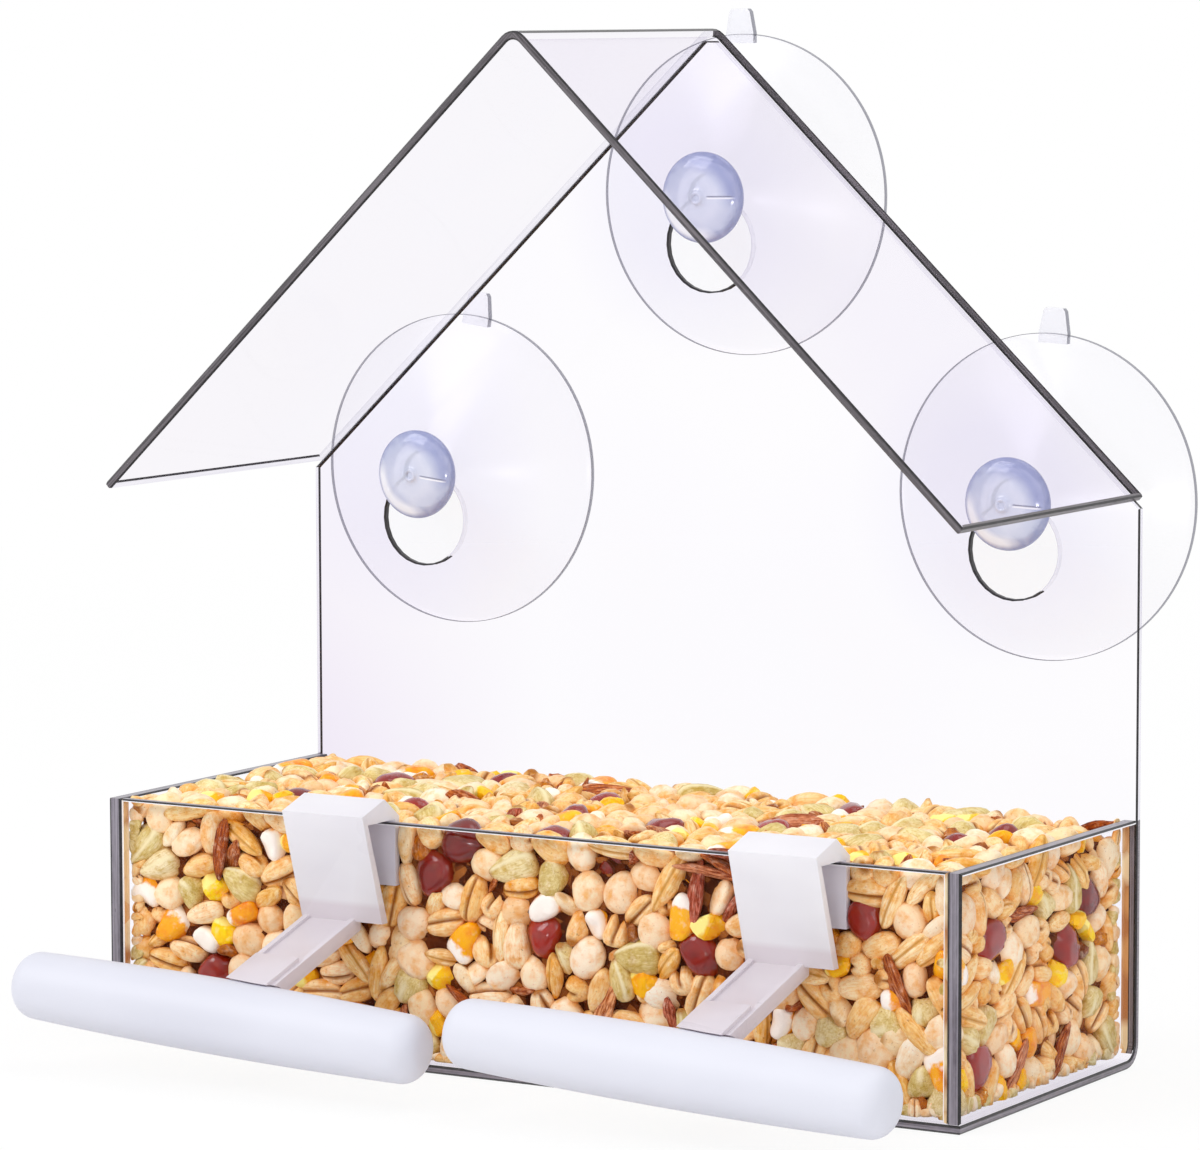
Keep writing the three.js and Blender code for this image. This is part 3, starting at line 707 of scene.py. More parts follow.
def turned(points, slots, around):
    """A closed solid turned about Y from half an outline that starts and ends on the axis."""
    angles = np.linspace(0, 2 * math.pi, around, endpoint=False)
    places = [(0, -points[0][1], 0)]
    for out, up in points[1:-1]:
        places += [(out * math.cos(a), -up, out * math.sin(a)) for a in angles]
    places.append((0, -points[-1][1], 0))
    faces, stretches = ring_faces(len(points) - 2, around)
    return places, faces, [slots[n] for n in stretches]


def tab_shape():
    """The pull tab, its tip's corners rounded and its edges broken."""
    root, tip = CUP_RADIUS - CUP_LAND / 2, CUP_RADIUS + TAB_HEIGHT
    half, end = TAB_BASE / 2, TAB_TIP / 2
    right = [(half, root), (half, CUP_RADIUS + 0.2), (end + 0.1, tip - 0.5), (end - 0.3, tip)]
    outline = [(-half, root)] + right + [(-x, z) for x, z in right[:0:-1]]
    shape = bmesh.new()
    front = [shape.verts.new((x, -TAB_THICKNESS, z)) for x, z in outline]
    back = [shape.verts.new((x, 0, z)) for x, z in outline]
    shape.faces.new(front)
    shape.faces.new(back[::-1])
    for n in range(len(outline)):
        m = (n + 1) % len(outline)
        shape.faces.new((front[m], front[n], back[n], back[m]))
    bmesh.ops.bevel(shape, geom=shape.edges[:], offset=TAB_BEVEL, segments=2, profile=0.6, affect="EDGES")
    bmesh.ops.recalc_face_normals(shape, faces=shape.faces)
    shape.verts.index_update()
    places = [tuple(v.co) for v in shape.verts]
    faces = [tuple(v.index for v in face.verts) for face in shape.faces]
    # Faces of the tab that look to the right take the rim's painted dark outline, as shade on that side.
    slots = [CUP_RIM if abs(face.normal.y) <= 0.8 and face.normal.x > 0.5 else TAB for face in shape.faces]
    shape.free()
    return places, faces, slots


def suction_cup(side, materials):
    x, z, turn = CUPS[side]
    places, faces, slots = turned(*cup_outline(), AROUND)
    tab_places, tab_faces, tab_slots = tab_shape()
    faces += [tuple(v + len(places) for v in face) for face in tab_faces]
    places = np.array(places + tab_places, float)
    piece = mesh_piece(side + "_cup_vinyl", places, faces, materials, slots + tab_slots)
    attribute(piece.data, "cup_place", places)
    spin = Matrix.Rotation(math.radians(turn), 4, "Y")
    piece.data.transform(Matrix.Translation(Vector((x, RIM_PLANE, z)) * MM) @ spin)
    sharpen(piece.data, 50)
    settle_in(piece, side + "_cup", "cup_vinyl", side + "_suction_cup")


# Perches

BAR_AROUND, BAR_STATIONS = 72, 27
CLIP_BEVEL, CLIP_SHARP = 0.22, math.radians(28)


def perch_bar(side, material):
    """The bar bulges a little in its middle and is rounded at its ends."""
    low, high = corners(side + "_perch_bar")
    straight = BAR_LENGTH / 2 - BAR_ROUNDING
    swell = BAR_MIDDLE_RADIUS - BAR_END_RADIUS
    end = [(0, BAR_LENGTH / 2)] + bend(BAR_END_RADIUS - BAR_ROUNDING, straight, BAR_ROUNDING, 90, 0, 9)
    points = [(out, -up) for out, up in end]
    points += [(BAR_END_RADIUS + swell * (1 - s * s), s * straight)
               for s in np.linspace(-1, 1, BAR_STATIONS)[1:-1]]
    points += end[::-1]
    places, faces, slots = turned(points, [0] * (len(points) - 1), BAR_AROUND)
    piece = mesh_piece(side + "_bar", places, faces, [material], slots)
    lie = Matrix.Rotation(BAR_DROOP, 4, "Y") @ Matrix.Rotation(math.pi / 2, 4, "Z")
    piece.data.transform(Matrix.Translation(Vector((low + high) / 2) * MM) @ lie)
    sharpen(piece.data, 60)
    settle_in(piece, side + "_perch", "bar_plastic", side + "_perch_bar")


def perch_clip(side, materials):
    """The model's own solid with its sharp edges broken, which take the second material, whiter as a painted
    highlight.
    """
    shape = solid_of(side + "_perch_clip")
    edges = [edge for edge in shape.edges
             if len(edge.link_faces) == 2 and edge.calc_face_angle(0) > CLIP_SHARP]
    made = bmesh.ops.bevel(shape, geom=edges, offset=CLIP_BEVEL, segments=2, profile=0.6, affect="EDGES",
                           clamp_overlap=True)
    for face in made["faces"]:
        face.material_index = 1
    piece = shape_piece(side + "_clip", shape, materials)
    piece.data.polygons.foreach_set("use_smooth", [True] * len(piece.data.polygons))
    sharpen(piece.data, 35)
    settle_in(piece, side + "_perch", "clip_plastic", side + "_perch_clip")


# Seed: loose kernels of several kinds, pushed together round the inside of the tray

SEED_GAP = 0.15  # between the seeds and the walls
SEED_TOP, BULGE = 0.2, 0.8  # above the rim: how high balls are packed, and how much further kernels may rise
CORE_INSET = 8.5  # the middle of the heap stays empty
FILLING = 0.92  # volume of the kernels as a share of the room that they are scattered in
BALL, FULLNESS = 4.19, 0.86  # volume of a ball of radius 1, and of a kernel as a share of its ellipsoid
ROUNDS, QUICK_ROUNDS = 130, 40
PUSH, TURN_LIMIT = 0.55, 0.35  # the share of a push that a round takes, and how far a seed turns in it
PAIR_ROUNDS, PAIR_REACH = 8, 0.6  # rounds until near pairs are looked up again, and the reach to spare
CLIP_ROOM, CLIP_ABOVE = 0.2, 9.0  # room beside a clip's leg, and how far it goes up from the rim
KEPT_OUT = 0.8  # the share of a ball's radius that stays outside a box
FACE_OUT = 0.6  # the share of seeds that turn their crease to the nearest side
GROWTH, MEAN_GROWTH = 0.2, 0.45  # the range of the kernels' sizes, and the share of it below full size
WAVES = (0.06, 0.05, 0.04)  # heights of the slow waves on a kernel
SEED_IN, CRUMB_IN = (0.002, 0.035), (0.04, 0.12)  # share by which one shrinks: at least, and on top of it
CRUMB, CRUMB_KINDS = 0.46, [0, 2, 3]  # small kernels: their size as a share of full, and their kinds
CRUMB_INSET, CRUMB_STEP, CRUMB_STRAY = 0.9, 1.7, 0.25  # from the walls, along them, and off that line
FLOOR_BEND = 2.4  # the round between floor and back, which the seed follows
PIECE_FACES = 80000  # a piece with more is divided
DUST_INSET, DUST_TOP = (1.9, 1.9, 0.5), 3.2  # from the walls and floor, and from the rim
DUST_STEP, DUST_STRAY, DUST_SLACK = 1.5, 0.3, 0.7  # its mesh, how uneven it is, and by how much at most


# One kind of seed. Its size is half its length, width and thickness, its share is that of the mix, and its
# balls for the packing are given as (x, y, z, radius).
Kind = namedtuple("Kind", "name size form share balls skin rings around pinch smooth",
                  defaults=(10, 16, 0.0, True))


def ball_grid(rings, around, pinch):
    """Points of a ball with its poles on X, as (cosine along X, sine, angle from +Z), and its faces."""
    turns = np.linspace(0, 2 * math.pi, around, endpoint=False)
    angles = turns - pinch * np.sin(turns)
    along, out, angle = [1.0], [0.0], [0.0]
    for tilt in np.linspace(0, math.pi, rings + 1)[1:-1]:
        along += [math.cos(tilt)] * around
        out += [math.sin(tilt)] * around
        angle += list(angles)
    faces = [face[:1] + face[:0:-1] for face in ring_faces(rings - 1, around)[0]]
    return np.array(along + [-1.0]), np.array(out + [0.0]), np.array(angle + [0.0]), faces


# Forms. u runs from -1 to 1 along a seed, s is the distance from its axis on the ball, a the angle from +Z,
# and r holds four numbers from 0 to 1 for each seed. Each gives places on a seed of half size 1.

def section(s, a):
    """The places across a seed."""
    return s * np.sin(a), s * np.cos(a)


def oval(u, s, a, r):
    return u, *section(s, a)


def kernel(u, s, a, r):
    """Plump grain, blunt at one end, with a deep crease along its top."""
    s = s ** 0.85 * (1 - 0.13 * u)
    y, z = section(s, a)
    groove = np.exp(-(y / 0.2) ** 2) * (z > 0) * np.clip(1.15 - u * u, 0, 1)
    return u, y, z - (0.3 + 0.3 * r[1]) * groove


def slender(u, s, a, r):
    """Long grain, pointed at both ends and slightly bowed, with a shallow crease."""
    s = s ** 1.25 * (1 - 0.08 * u)
    y, z = section(s, a)
    groove = np.exp(-(y / 0.25) ** 2) * (z > 0) * np.clip(1 - u * u, 0, 1)
    return u, y + 0.25 * (r[1] - 0.5) * u * u, z - 0.28 * groove - 0.3 * (r[2] - 0.3) * u * u


def split(u, s, a, r):
    """Round pea, more or less flattened underneath."""
    y, z = section(s, a)
    return u, y, np.where(z < 0, z * (0.25 + 0.75 * r[1]), z)


def ridged(u, s, a, r):
    """Three-cornered grain that runs to a point."""
    s = s ** 0.9 * (1 - 0.42 * u) * (1 + 0.15 * np.cos(3 * a)) * 0.92
    return u, *section(s, a)


def tooth(u, s, a, r):
    """Corn: broad and square at the crown, narrow at the tip."""
    wide = 0.78 + 0.3 * u
    y = np.sign(np.sin(a)) * np.abs(np.sin(a)) ** 0.7 * s ** 0.6 * wide
    z = np.sign(np.cos(a)) * np.abs(np.cos(a)) ** 0.7 * s ** 0.6
    dent = 0.22 * np.exp(-(y / 0.5) ** 2) * np.clip(u, 0, 1) ** 4
    return np.sign(u) * np.abs(u) ** 0.8 - dent, y, z


def cracked(u, s, a, r):
    """A broken bit with flat faces: a ball cut by planes that differ from seed to seed."""
    place = np.stack([axis + 0 * r[0] for axis in oval(u, s, a, r)])
    reach = np.full(place.shape[1:], 1.15)
    for n in range(9):
        turn = 2 * math.pi * np.mod(r[0] * 7.3 + n * 0.618, 1)
        lift = np.mod(r[1] * 5.1 + n * 0.37, 1) * 2 - 1
        flat = np.sqrt(1 - lift * lift)
        plane = (flat * np.cos(turn), flat * np.sin(turn), lift)
        depth = 0.62 + 0.3 * np.mod(r[2] * 3.7 + n * 0.29, 1)
        facing = plane[0] * place[0] + plane[1] * place[1] + plane[2] * place[2]
        reach = np.where(facing > 0.05, np.minimum(reach, depth / np.maximum(facing, 0.05)), reach)
    return tuple(place * reach)


def husk(u, s, a, r):
    """A thin curled sliver."""
    s = s ** 1.1
    y, z = section(s, a)
    return u, y + 0.3 * (r[1] - 0.5) * np.sin(3 * u), z + 0.9 * y * y - 0.8 * (r[2] - 0.5) * u * u


def flat_seed(u, s, a, r):
    """A flat pale seed, pointed at one end, with a raised border."""
    s = s ** 0.8 * (1 - 0.3 * u - 0.1 * u * u)
    y, z = section(s, a)
    border = 1 + 0.35 * np.clip(np.hypot(u, y) - 0.55, 0, 0.4)
    return u, y, z * border * np.clip(1.25 - 0.5 * (u * u + y * y), 0.4, 1)


def seed_kinds():
    wheat = seed_skin("wheat", [(240, 198, 140), (254, 226, 182), (244, 208, 154), (255, 238, 208)],
                      (236, 178, 118), 0.35, (164, 98, 52), (140, 74, 34), roughness=0.42)
    oat = seed_skin("oat", [(248, 216, 160), (255, 236, 196), (242, 200, 138), (253, 226, 176)],
                    (232, 178, 114), 0.5, (196, 136, 80), (196, 140, 84), roughness=0.42)
    pea = seed_skin("pea", [(248, 218, 176), (255, 238, 210), (242, 202, 158), (255, 244, 222)],
                    (240, 192, 142), roughness=0.38, specks=0.35)
    green = seed_skin("green", [(226, 206, 150), (240, 224, 180), (214, 194, 138), (244, 230, 196)],
                      (212, 186, 124), 0.45, (170, 112, 66), (240, 228, 190), roughness=0.48)
    bean = seed_skin("bean", [(132, 20, 24), (152, 30, 32), (112, 14, 20), (160, 40, 42)],
                     (200, 120, 120), roughness=0.16, coat=0.6, grain=0.03, specks=0.0, patch=0.05)
    corn = seed_skin("corn", [(248, 160, 24), (255, 190, 48), (242, 142, 24)],
                     (236, 140, 40), cap=(255, 248, 236), roughness=0.3, coat=0.2, specks=0.0)
    chip = seed_skin("chip", [(255, 204, 30), (250, 180, 24), (255, 220, 84), (240, 156, 36)],
                     (246, 176, 60), cap=(255, 240, 160), roughness=0.36, specks=0.0)
    sliver = seed_skin("sliver", [(214, 134, 96), (180, 100, 70), (236, 176, 136), (196, 116, 106)],
                       (160, 84, 62), 0.9, roughness=0.55, grain=0.3)
    bit = seed_skin("bit", [(160, 88, 46), (204, 124, 68), (228, 156, 88), (134, 66, 38)],
                    (150, 76, 44), 0.5, roughness=0.5)
    pale = seed_skin("pale", [(253, 238, 210), (246, 222, 184), (255, 248, 230)],
                     (238, 204, 160), 0.2, (200, 150, 104), roughness=0.36)
    wheat_balls = ((-1.7, 0, 0, 1.75), (0, 0, 0, 1.9), (1.7, 0, 0, 1.65))
    oat_balls = ((-3.0, 0, 0, 0.95), (-1.6, 0, 0, 1.35), (0, 0, 0, 1.5), (1.6, 0, 0, 1.35), (3.0, 0, 0, 0.95))
    pea_balls = ((-1.0, 0, 0.1, 2.0), (1.0, 0, 0.1, 2.0), (0, -0.9, 0.1, 2.0), (0, 0.9, 0.1, 2.0))
    green_balls = ((-1.3, 0, 0, 2.2), (0.5, 0, 0, 1.9), (2.2, 0, 0, 1.1))
    bean_balls = ((-1.2, 0, 0, 2.8), (1.2, 0, 0, 2.8), (0, 0.7, 0, 2.8), (0, -0.7, 0, 2.8), (0, 0, 0.6, 2.8),
                  (0, 0, -0.6, 2.8))
    corn_balls = ((1.4, 1.0, 0, 1.7), (1.4, -1.0, 0, 1.7), (-0.6, 0, 0, 1.7), (-2.0, 0, 0, 1.2))
    sliver_balls = ((-3.8, 0, 0, 0.7), (-1.9, 0, 0, 1.0), (0, 0, 0, 1.1), (1.9, 0, 0, 1.0), (3.8, 0, 0, 0.7))
    pale_balls = ((-1.6, 0.9, 0, 1.35), (-1.6, -0.9, 0, 1.35), (0.2, 1.0, 0, 1.35), (0.2, -1.0, 0, 1.35),
                  (2.1, 0, 0, 1.15))
    return [
        Kind("wheat", (3.6, 2.2, 2.0), kernel, 0.30, wheat_balls, wheat, 10, 20, 0.5),
        Kind("oat", (4.8, 1.75, 1.55), slender, 0.14, oat_balls, oat, 10, 16, 0.45),
        Kind("pea", (3.25, 3.0, 2.5), split, 0.20, pea_balls, pea, 9, 14),
        Kind("green", (3.9, 2.8, 2.7), ridged, 0.07, green_balls, green, 10, 18),
        Kind("bean", (4.1, 3.6, 3.5), oval, 0.024, bean_balls, bean, 14, 20),
        Kind("corn", (3.4, 2.9, 1.9), tooth, 0.045, corn_balls, corn, 12, 18),
        Kind("chip", (2.6, 2.2, 1.9), cracked, 0.06, ((0, 0, 0, 1.9),), chip, smooth=False),
        Kind("sliver", (5.2, 1.5, 0.75), husk, 0.05, sliver_balls, sliver, 12, 14),
        Kind("bit", (2.0, 1.7, 1.4), cracked, 0.05, ((0, 0, 0, 1.5),), bit, 8, 12, smooth=False),
        Kind("pale", (4.0, 2.8, 1.35), flat_seed, 0.04, pale_balls, pale, 10, 16),
    ]


def near_pairs(points, owner, reach):
    """Pairs of points of different seeds that lie closer than reach, found through a grid of cells."""
    cells = np.floor((points - points.min(0)) / reach).astype(np.int64) + 1
    wide, deep = cells.max(0)[1:] + 2
    key = (cells[:, 0] * wide + cells[:, 1]) * deep + cells[:, 2]
    order = np.argsort(key, kind="stable")
    key = key[order]
    steps = [(x, y, z) for x in (0, 1) for y in (-1, 0, 1) for z in (-1, 0, 1) if (x, y, z) >= (0, 0, 0)]
    found = []
    for x, y, z in steps:
        goal = key + (x * wide + y) * deep + z
        first, past = np.searchsorted(key, goal, "left"), np.searchsorted(key, goal, "right")
        many = past - first
        a = np.repeat(np.arange(len(key)), many)
        b = np.arange(many.sum()) - np.repeat(np.cumsum(many) - many, many) + np.repeat(first, many)
        if (x, y, z) == (0, 0, 0):
            a, b = a[b > a], b[b > a]
        found.append(np.stack([order[a], order[b]]))
    a, b = np.concatenate(found, axis=1)
    keep = (owner[a] != owner[b]) & (((points[a] - points[b]) ** 2).sum(1) < reach * reach)
    return a[keep], b[keep]


def turn_by(angles):
    """Rotation matrices for small rotation vectors."""
    size = np.linalg.norm(angles, axis=1)
    axis = angles / np.maximum(size, 1e-9)[:, None]
    x, y, z = axis.T
    zero = np.zeros_like(x)
    cross = np.stack([zero, -z, y, z, zero, -x, -y, x, zero], axis=1).reshape(-1, 3, 3)
    sine, cosine = np.sin(size)[:, None, None], np.cos(size)[:, None, None]
    return np.eye(3) + sine * cross + (1 - cosine) * (cross @ cross)


def random_turns(count, chance):
    turns = np.linalg.qr(chance.normal(size=(count, 3, 3)))[0]
    turns[np.linalg.det(turns) < 0, :, 0] *= -1
    return turns


def summed(owner, vectors, count):
    """The sum of each owner's vectors."""
    return np.stack([np.bincount(owner, vectors[:, n], count) for n in range(3)], axis=1)


def keep_out(held, radii, box_low, box_high):
    """Move balls that lie in a box halfway to its nearest side."""
    grown_low, grown_high = box_low - radii * KEPT_OUT, box_high + radii * KEPT_OUT
    rows = np.nonzero(np.all((held > grown_low) & (held < grown_high), axis=1))[0]
    least = np.concatenate([held - grown_low, grown_high - held], axis=1).argmin(1)[rows]
    axis = least % 3
    goal = np.where(least < 3, grown_low[rows, axis], grown_high[rows, axis])
    held[rows, axis] += 0.5 * (goal - held[rows, axis])


def pack(kinds, low, high, blocks, chance):
    """Fill the room in a box, but not its core, with seeds: scatter them, then push overlapping ones apart
    until they lie against each other, the walls and the blocks. Gives each seed's kind, place and turn."""
    core_low, core_high = low + CORE_INSET, high - CORE_INSET
    room = np.prod(high - low) - np.prod(core_high - core_low)
    shares = np.array([kind.share for kind in kinds])
    mean = sum(kind.share * BALL * np.prod(kind.size) * FULLNESS for kind in kinds) / shares.sum()
    count = int(room * FILLING / mean)
    which = chance.choice(len(kinds), count, p=shares / shares.sum())
    centres = np.empty((count, 3))
    inner = np.ones(count, bool)
    while inner.any():
        centres[inner] = low + (high - low) * chance.random((inner.sum(), 3))
        inner = np.all((centres > core_low) & (centres < core_high), axis=1)
    turns = random_turns(count, chance)
    owner = np.concatenate([np.full(len(kinds[k].balls), n) for n, k in enumerate(which)])
    balls = np.concatenate([kinds[k].balls for k in which])
    offsets, radii = balls[:, :3], balls[:, 3]
    number = np.bincount(owner)
    spread = np.bincount(owner, (offsets ** 2).sum(1)) + 1.5 * number
    for step in range(ROUNDS):
        arms = np.einsum("nij,nj->ni", turns[owner], offsets)
        points = centres[owner] + arms
        if step % PAIR_ROUNDS == 0:
            a, b = near_pairs(points, owner, 2 * radii.max() + PAIR_REACH)
        gap = points[b] - points[a]
        distance = np.maximum(np.linalg.norm(gap, axis=1), 1e-6)
        lap = radii[a] + radii[b] - distance
        hit = lap > 0
        push = gap[hit] * (0.5 * lap[hit] / distance[hit])[:, None]
        move = (summed(b[hit], push, len(points)) - summed(a[hit], push, len(points))) * PUSH
        held = np.clip(points + move, low + radii[:, None], high - radii[:, None])
        for box_low, box_high in blocks + [(core_low, core_high)]:
            keep_out(held, radii[:, None], box_low, box_high)
        move = held - points
        centres += summed(owner, move, count) / number[:, None]
        angles = summed(owner, np.cross(arms, move), count) / spread[:, None]
        size = np.linalg.norm(angles, axis=1, keepdims=True)
        angles *= np.minimum(1, TURN_LIMIT / np.maximum(size, 1e-9))
        turns = turn_by(angles) @ turns
    return which, centres, turns


def outward(centres, low, high):
    """For each place in a box, the direction of the nearest side."""
    side = np.concatenate([centres - low, high - centres], axis=1).argmin(1)
    normals = np.zeros_like(centres)
    normals[np.arange(len(side)), side % 3] = np.where(side < 3, -1.0, 1.0)
    return normals


def roll_out(turns, centres, low, high, chance):
    """Roll some seeds about their length so that their creased side faces outwards."""
    local = np.einsum("nji,nj->ni", turns, outward(centres, low, high))
    angle = np.arctan2(-local[:, 1], local[:, 2]) + chance.normal(0, 0.45, len(turns))
    angle *= chance.random(len(turns)) < FACE_OUT
    return turns @ turn_by(np.stack([angle, 0 * angle, 0 * angle], axis=1))


def lumpy(shape, chance):
    """Break the regularity of each seed with a few slow waves."""
    scale = np.ones(shape.shape[:2])
    for size in WAVES:
        way = chance.normal(0, 1.9, (len(shape), 1, 3))
        scale += size * np.sin((shape * way).sum(2) + 6.3 * chance.random((len(shape), 1)))
    return shape * scale[:, :, None]


def tuck(places, low, high):
    """Keep points inside the tray, also in the round of its floor's bend."""
    places = np.clip(places, low, high)
    out = places[:, 1] - (high[1] - FLOOR_BEND)
    down = (low[2] + FLOOR_BEND) - places[:, 2]
    size = np.hypot(out, down)
    past = (out > 0) & (down > 0) & (size > FLOOR_BEND)
    share = FLOOR_BEND / np.maximum(size, 1e-6)
    places[past, 1] = high[1] - FLOOR_BEND + (out * share)[past]
    places[past, 2] = low[2] + FLOOR_BEND - (down * share)[past]
    return places


def corner_crumbs(low, high, chance):
    """Places for small kernels along the tray's edges and corners, which big ones can't fill."""
    near, far = low + CRUMB_INSET, high - CRUMB_INSET
    lines = []
    for x in (near[0], far[0]):
        lines += [((x, y, near[2]), (x, y, far[2])) for y in (near[1], far[1])]
        lines.append(((x, near[1], near[2]), (x, far[1], near[2])))
    lines += [((near[0], y, near[2]), (far[0], y, near[2])) for y in (near[1], far[1])]
    places = []
    for start, end in np.array(lines):
        count = int(np.linalg.norm(end - start) / CRUMB_STEP)
        shares = np.linspace(0, 1, count)[:, None]
        places.append(start + (end - start) * shares + chance.normal(0, CRUMB_STRAY, (count, 3)))
    return np.concatenate(places)


def leg_room(clip_low, clip_high):
    """The box of a clip's back leg, with a little room at its sides."""
    middle = (clip_low[0] + clip_high[0]) / 2
    half = (clip_high[0] - clip_low[0]) / 2 + CLIP_ROOM
    return (np.array([middle - half, PANEL_LOW[1], RIM - CLIP_LEG_DROP]),
            np.array([middle + half, PANEL_HIGH[1] + CLIP_LEG_REACH, RIM + CLIP_ABOVE]))


def seeds(kinds):
    chance = np.random.default_rng(7)
    low = np.array([-SIDE_LOW[0] + SEED_GAP, PANEL_HIGH[1] + SEED_GAP, SHEET + SEED_GAP])
    high = np.array([SIDE_LOW[0] - SEED_GAP, SHEET_HIGH[1] - SHEET - SEED_GAP, RIM + SEED_TOP])
    which, centres, turns = pack(kinds, low, high, [leg_room(*box) for box in CLIP_BOXES], chance)
    crumbs = corner_crumbs(low, high, chance)
    scales = np.repeat([1.0, CRUMB], [len(which), len(crumbs)])
    which = np.concatenate([which, chance.choice(CRUMB_KINDS, len(crumbs))])
    centres = np.concatenate([centres, crumbs])
    turns = np.concatenate([turns, random_turns(len(crumbs), chance)])
    for number, kind in enumerate(kinds):
        mine = which == number
        middles, scale = centres[mine], scales[mine]
        aims = roll_out(turns[mine], middles, low, high, chance)
        many = len(middles)
        u, s, a, faces = ball_grid(kind.rings, kind.around, kind.pinch)
        r = chance.random((4, many, 1))
        shape = np.stack(np.broadcast_arrays(*kind.form(u[None], s[None], a[None], r)), axis=2)
        growth = (1 + GROWTH * (chance.random((many, 1, 1)) - MEAN_GROWTH)) * scale[:, None, None]
        local = lumpy(shape, chance) * np.array(kind.size) * growth
        places = middles[:, None] + np.einsum("nij,nvj->nvi", aims, local)
        places = tuck(places.reshape(-1, 3), low, high + [0, 0, BULGE]).reshape(local.shape)
        least, more = (np.where(scale < 1, crumb, seed) for crumb, seed in zip(CRUMB_IN, SEED_IN))
        places += (least + more * r[2][:, 0])[:, None, None] * (middles[:, None] - places)
        # How deep each point lies in the heap, for the painted shade in its skin.
        depth = np.concatenate([places - low, high - places], axis=2).min(2)
        flat = np.stack(np.broadcast_arrays(*oval(u, s, a, r)), axis=1)
        batch = PIECE_FACES // len(faces)
        for part, first in enumerate(range(0, many, batch)):
            own = slice(first, first + batch)
            count = len(middles[own])
            all_faces = [tuple(v + base * len(u) for v in face) for base in range(count) for face in faces]
            name = "seed_" + kind.name + ("" if many <= batch else "_" + "abcdefgh"[part])
            piece = mesh_piece(name, places[own].reshape(-1, 3), all_faces, [kind.skin], smooth=kind.smooth)
            grains = local[own] + 40 * r[3][own, :, None]
            attribute(piece.data, "seed_shape", np.tile(flat, (count, 1)))
            attribute(piece.data, "seed_grain", grains.reshape(-1, 3))
            attribute(piece.data, "seed_tint", np.repeat(r[0][own, 0], len(u)))
            attribute(piece.data, "seed_depth", np.maximum(depth[own], 0).ravel())
            settle_in(piece, "house", "seed", "seed_mix")


def seed_dust_and_shade(material):
    """Husk dust and crumbs that fill the gaps between the seeds: dark brown, partly dust and partly painted
    shade deep in the heap.
    """
    low = np.array([-SIDE_LOW[0], PANEL_HIGH[1], SHEET]) + DUST_INSET
    high = np.array([SIDE_LOW[0] - DUST_INSET[0], SHEET_HIGH[1] - SHEET - DUST_INSET[1], RIM - DUST_TOP])
    shape = bmesh.new()
    bmesh.ops.create_cube(shape, size=1.0)
    for axis, count in enumerate(np.ceil((high - low) / DUST_STEP).astype(int)):
        edges = [edge for edge in shape.edges if abs((edge.verts[0].co - edge.verts[1].co)[axis]) > 0.9]
        bmesh.ops.subdivide_edges(shape, edges=edges, cuts=int(count) - 1, use_grid_fill=True)
    chance = np.random.default_rng(3)
    places = np.array([vertex.co for vertex in shape.verts])
    places = (low + high) / 2 + places * (high - low) + chance.normal(0, DUST_STRAY, places.shape)
    for vertex, place in zip(shape.verts, tuck(places, low - DUST_SLACK, high + DUST_SLACK)):
        vertex.co = Vector(place)
    settle_in(shape_piece("seed_dust_and_shade", shape, [material]), "house", "seed", "seed_mix")


# Camera, light and floor

CAMERA_PLACE, CAMERA_TARGET, CAMERA_ROLL = (424.391, -715.729, 162.139), (14.926, -30.0, 77.861), 0.124
LENS, SENSOR, CLIPPED = 162.98, 36.0, (0.01, 60.0)
LAMPS = {  # place and target in metres, size in metres, power
    "key": ((-0.75, -0.95, 1.05), (0, 0, 0.06), (0.8, 0.8), 9.2),
    "front": ((0.26, -0.78, 0.02), (0.05, 0.03, 0.09), (0.12, 0.05), 0.5),
    "top": ((0.3, 0.2, 1.3), (0, 0, 0.05), (0.9, 0.9), 4.2),
    "side": ((1.1, -0.5, 0.45), (0, 0, 0.05), (0.5, 0.5), 1.5),
}
WHITE = (1, 1, 1, 1)
AMBIENT = 0.7  # the background's light on matt surfaces
FLOOR_HALF, FLOOR_DROP = 6000.0, 0.05


def aimed(made, place, target, roll=0.0):
    """Link a camera or lamp that stands at a place and looks at a target."""
    bpy.context.scene.collection.objects.link(made)
    turn = (target - place).to_track_quat("-Z", "Y").to_matrix().to_4x4()
    made.matrix_world = Matrix.Translation(place) @ turn @ Matrix.Rotation(math.radians(-roll), 4, "Z")


def look_through():
    """The photograph's view. Lens and place come from fitting a camera to the corners of the house."""
    data = bpy.data.cameras.new("camera")
    data.sensor_fit = "HORIZONTAL"
    data.sensor_width, data.lens = SENSOR, LENS
    data.clip_start, data.clip_end = CLIPPED
    camera = bpy.data.objects.new("camera", data)
    aimed(camera, Vector(CAMERA_PLACE) * MM, Vector(CAMERA_TARGET) * MM, CAMERA_ROLL)
    bpy.context.scene.camera = camera


def lamp(name, place, target, size, power):
    data = bpy.data.lights.new(name, "AREA")
    data.shape = "RECTANGLE"
    data.size, data.size_y = size
    data.energy = power
    light = bpy.data.objects.new(name, data)
    aimed(light, Vector(place), Vector(target))
    light.visible_camera = False


def straight_rays(paint):
    """1 for rays that show the background: from the camera, in a reflection or through something clear."""
    path = paint.node("LightPath").outputs
    seen = paint.math("MAXIMUM", path["Is Camera Ray"], path["Is Glossy Ray"])
    return paint.math("MAXIMUM", seen, path["Is Transmission Ray"])


def studio():
    paint = Paint("studio", bpy.data.worlds)
    soft, white = (paint.add("Background", {"Color": WHITE, "Strength": light}) for light in (AMBIENT, 1.0))
    bpy.context.scene.world = paint.done(paint.blend(straight_rays(paint), soft, white), "OutputWorld")
    for name, settings in LAMPS.items():
        lamp(name, *settings)


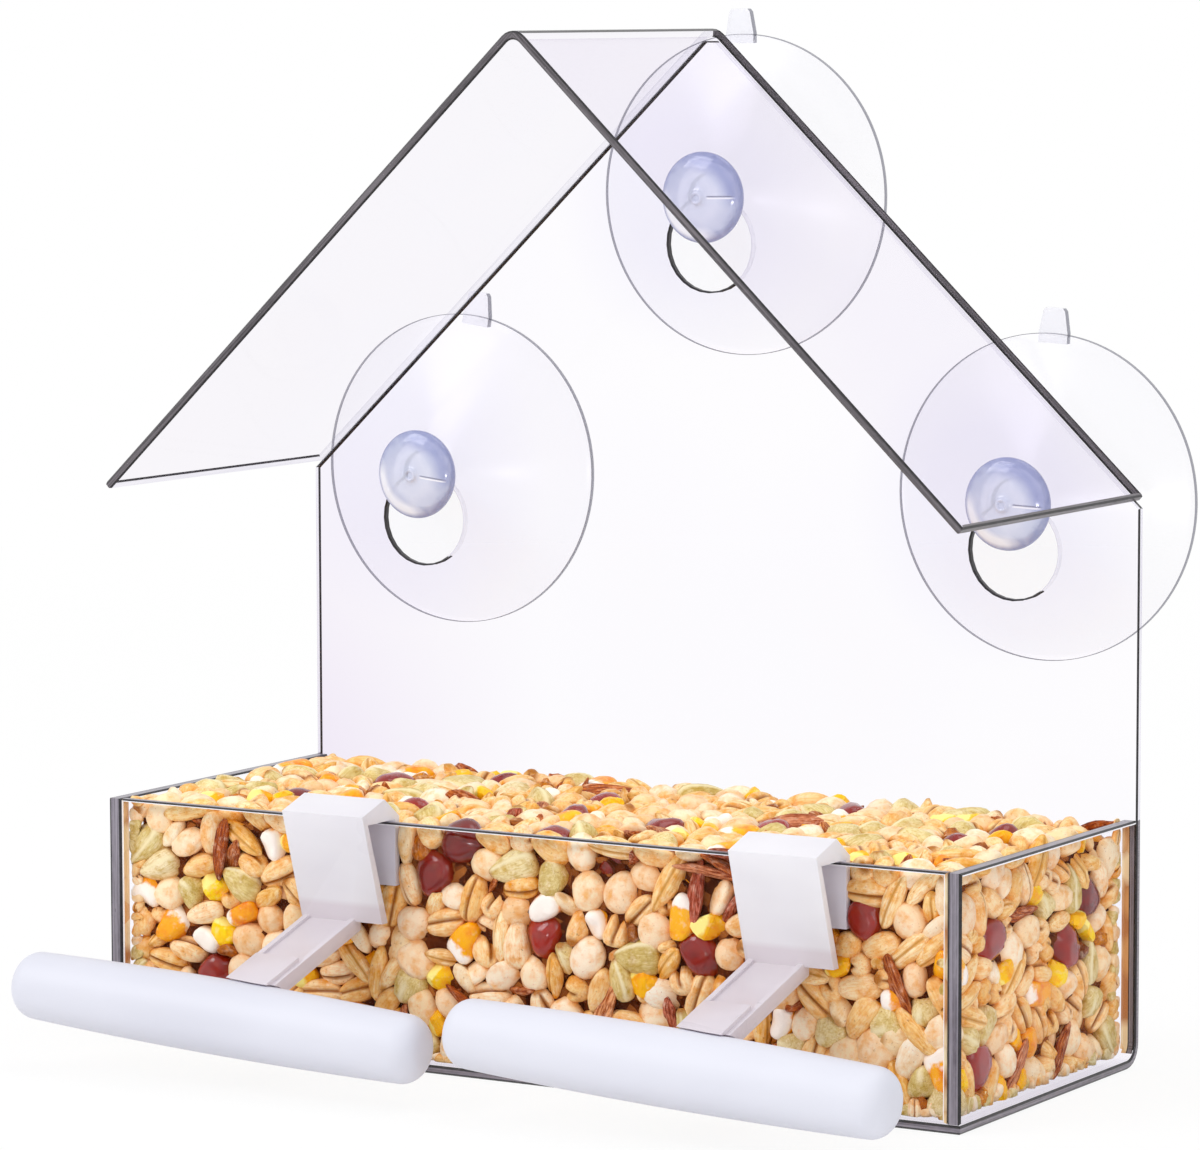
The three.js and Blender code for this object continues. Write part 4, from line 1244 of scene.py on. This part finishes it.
def studio_floor():
    """Matt, with the background's white over it for rays that show it, and clear from below."""
    paint = Paint("studio_floor")
    matt = paint.add("BsdfDiffuse", {"Color": (0.92, 0.92, 0.92, 1)})
    white = paint.add("Emission", {"Color": WHITE, "Strength": 1.0})
    away = paint.span(paint.length(paint.place()), 0.2, 0.8, 0.9, 1.0)
    top = paint.blend(paint.times(straight_rays(paint), away), matt, white)
    behind = paint.add("NewGeometry", None, "Backfacing")
    material = paint.done(paint.blend(behind, top, paint.clear(WHITE)))
    places = [(x * FLOOR_HALF, y * FLOOR_HALF, 0) for x, y in ((-1, -1), (1, -1), (1, 1), (-1, 1))]
    floor = mesh_piece("floor", places, [(0, 1, 2, 3)], [material], smooth=False)
    floor.location.z = -FLOOR_DROP * MM


# The object

def build():
    look_through()
    studio()
    studio_floor()
    face, pale = clear_sheet("clear_acrylic"), pale_edge()
    # Edge finishes: dark lines and grey cores as painted shade, glints as painted highlights
    line = plain_edge("edge_line", 900.0, (14, 12, 15), (44, 40, 46), 0.35)
    glint = plain_edge("edge_glint", 300.0, (250, 249, 253), (236, 233, 242), 0.3)
    dark = edge_core("edge_dark", (50, 46, 50), (84, 79, 84), (120, 114, 120))
    grey = edge_core("edge_grey", (86, 80, 90), (126, 120, 130), (158, 152, 164), 0.9)
    walls = [face, grey, line, glint, pale, edge_mirror()]
    roof_piece([face, dark, line, glint, pale])
    back_piece([clear_sheet("clear_back", (252, 251.7, 254.4)), grey, line, glint, pale])
    front_piece(walls)
    side_piece("left_side_panel", -1, walls)
    side_piece("right_side_panel", 1, walls)
    disc = vinyl("cup_disc", (254.4, 254.2, 255), (226, 226, 243), 0.026, 0.22, 0.026)
    # The rim's grey is a painted dark outline, shade where the vinyl's edge bends light.
    rim = vinyl("cup_rim", (184, 184, 192), (120, 120, 130), 0.5, 0.3)
    tab = vinyl("cup_tab", (253, 253, 255), (244, 244, 252), 0.2, 0.22)
    cup_materials = [disc, knob_vinyl(), rim, tab]
    for side in CUPS:
        suction_cup(side, cup_materials)
    # The clip's lower part takes a painted shade, faintly warm.
    fade = (RIM - CLIP_FADE, (244, 238, 240))
    clip = moulded("clip_milky", (238, 236, 242), (247, 246, 250), 0.3, 60.0, 0.22, fade)
    # The broken edges are whiter: a painted highlight.
    clip_edge_highlight = moulded("clip_edge_highlight", (250, 250, 253), (255, 255, 255), 0.2, 90.0, 0.3)
    bar = moulded("bar_white", (210, 211, 222), (220, 221, 231), 0.5, 35.0)
    for side in ("left", "right"):
        perch_clip(side, [clip, clip_edge_highlight])
        perch_bar(side, bar)
    seeds(seed_kinds())
    seed_dust_and_shade(husk_dust_and_shade())
    bpy.context.scene.view_settings.view_transform = "Standard"


build()
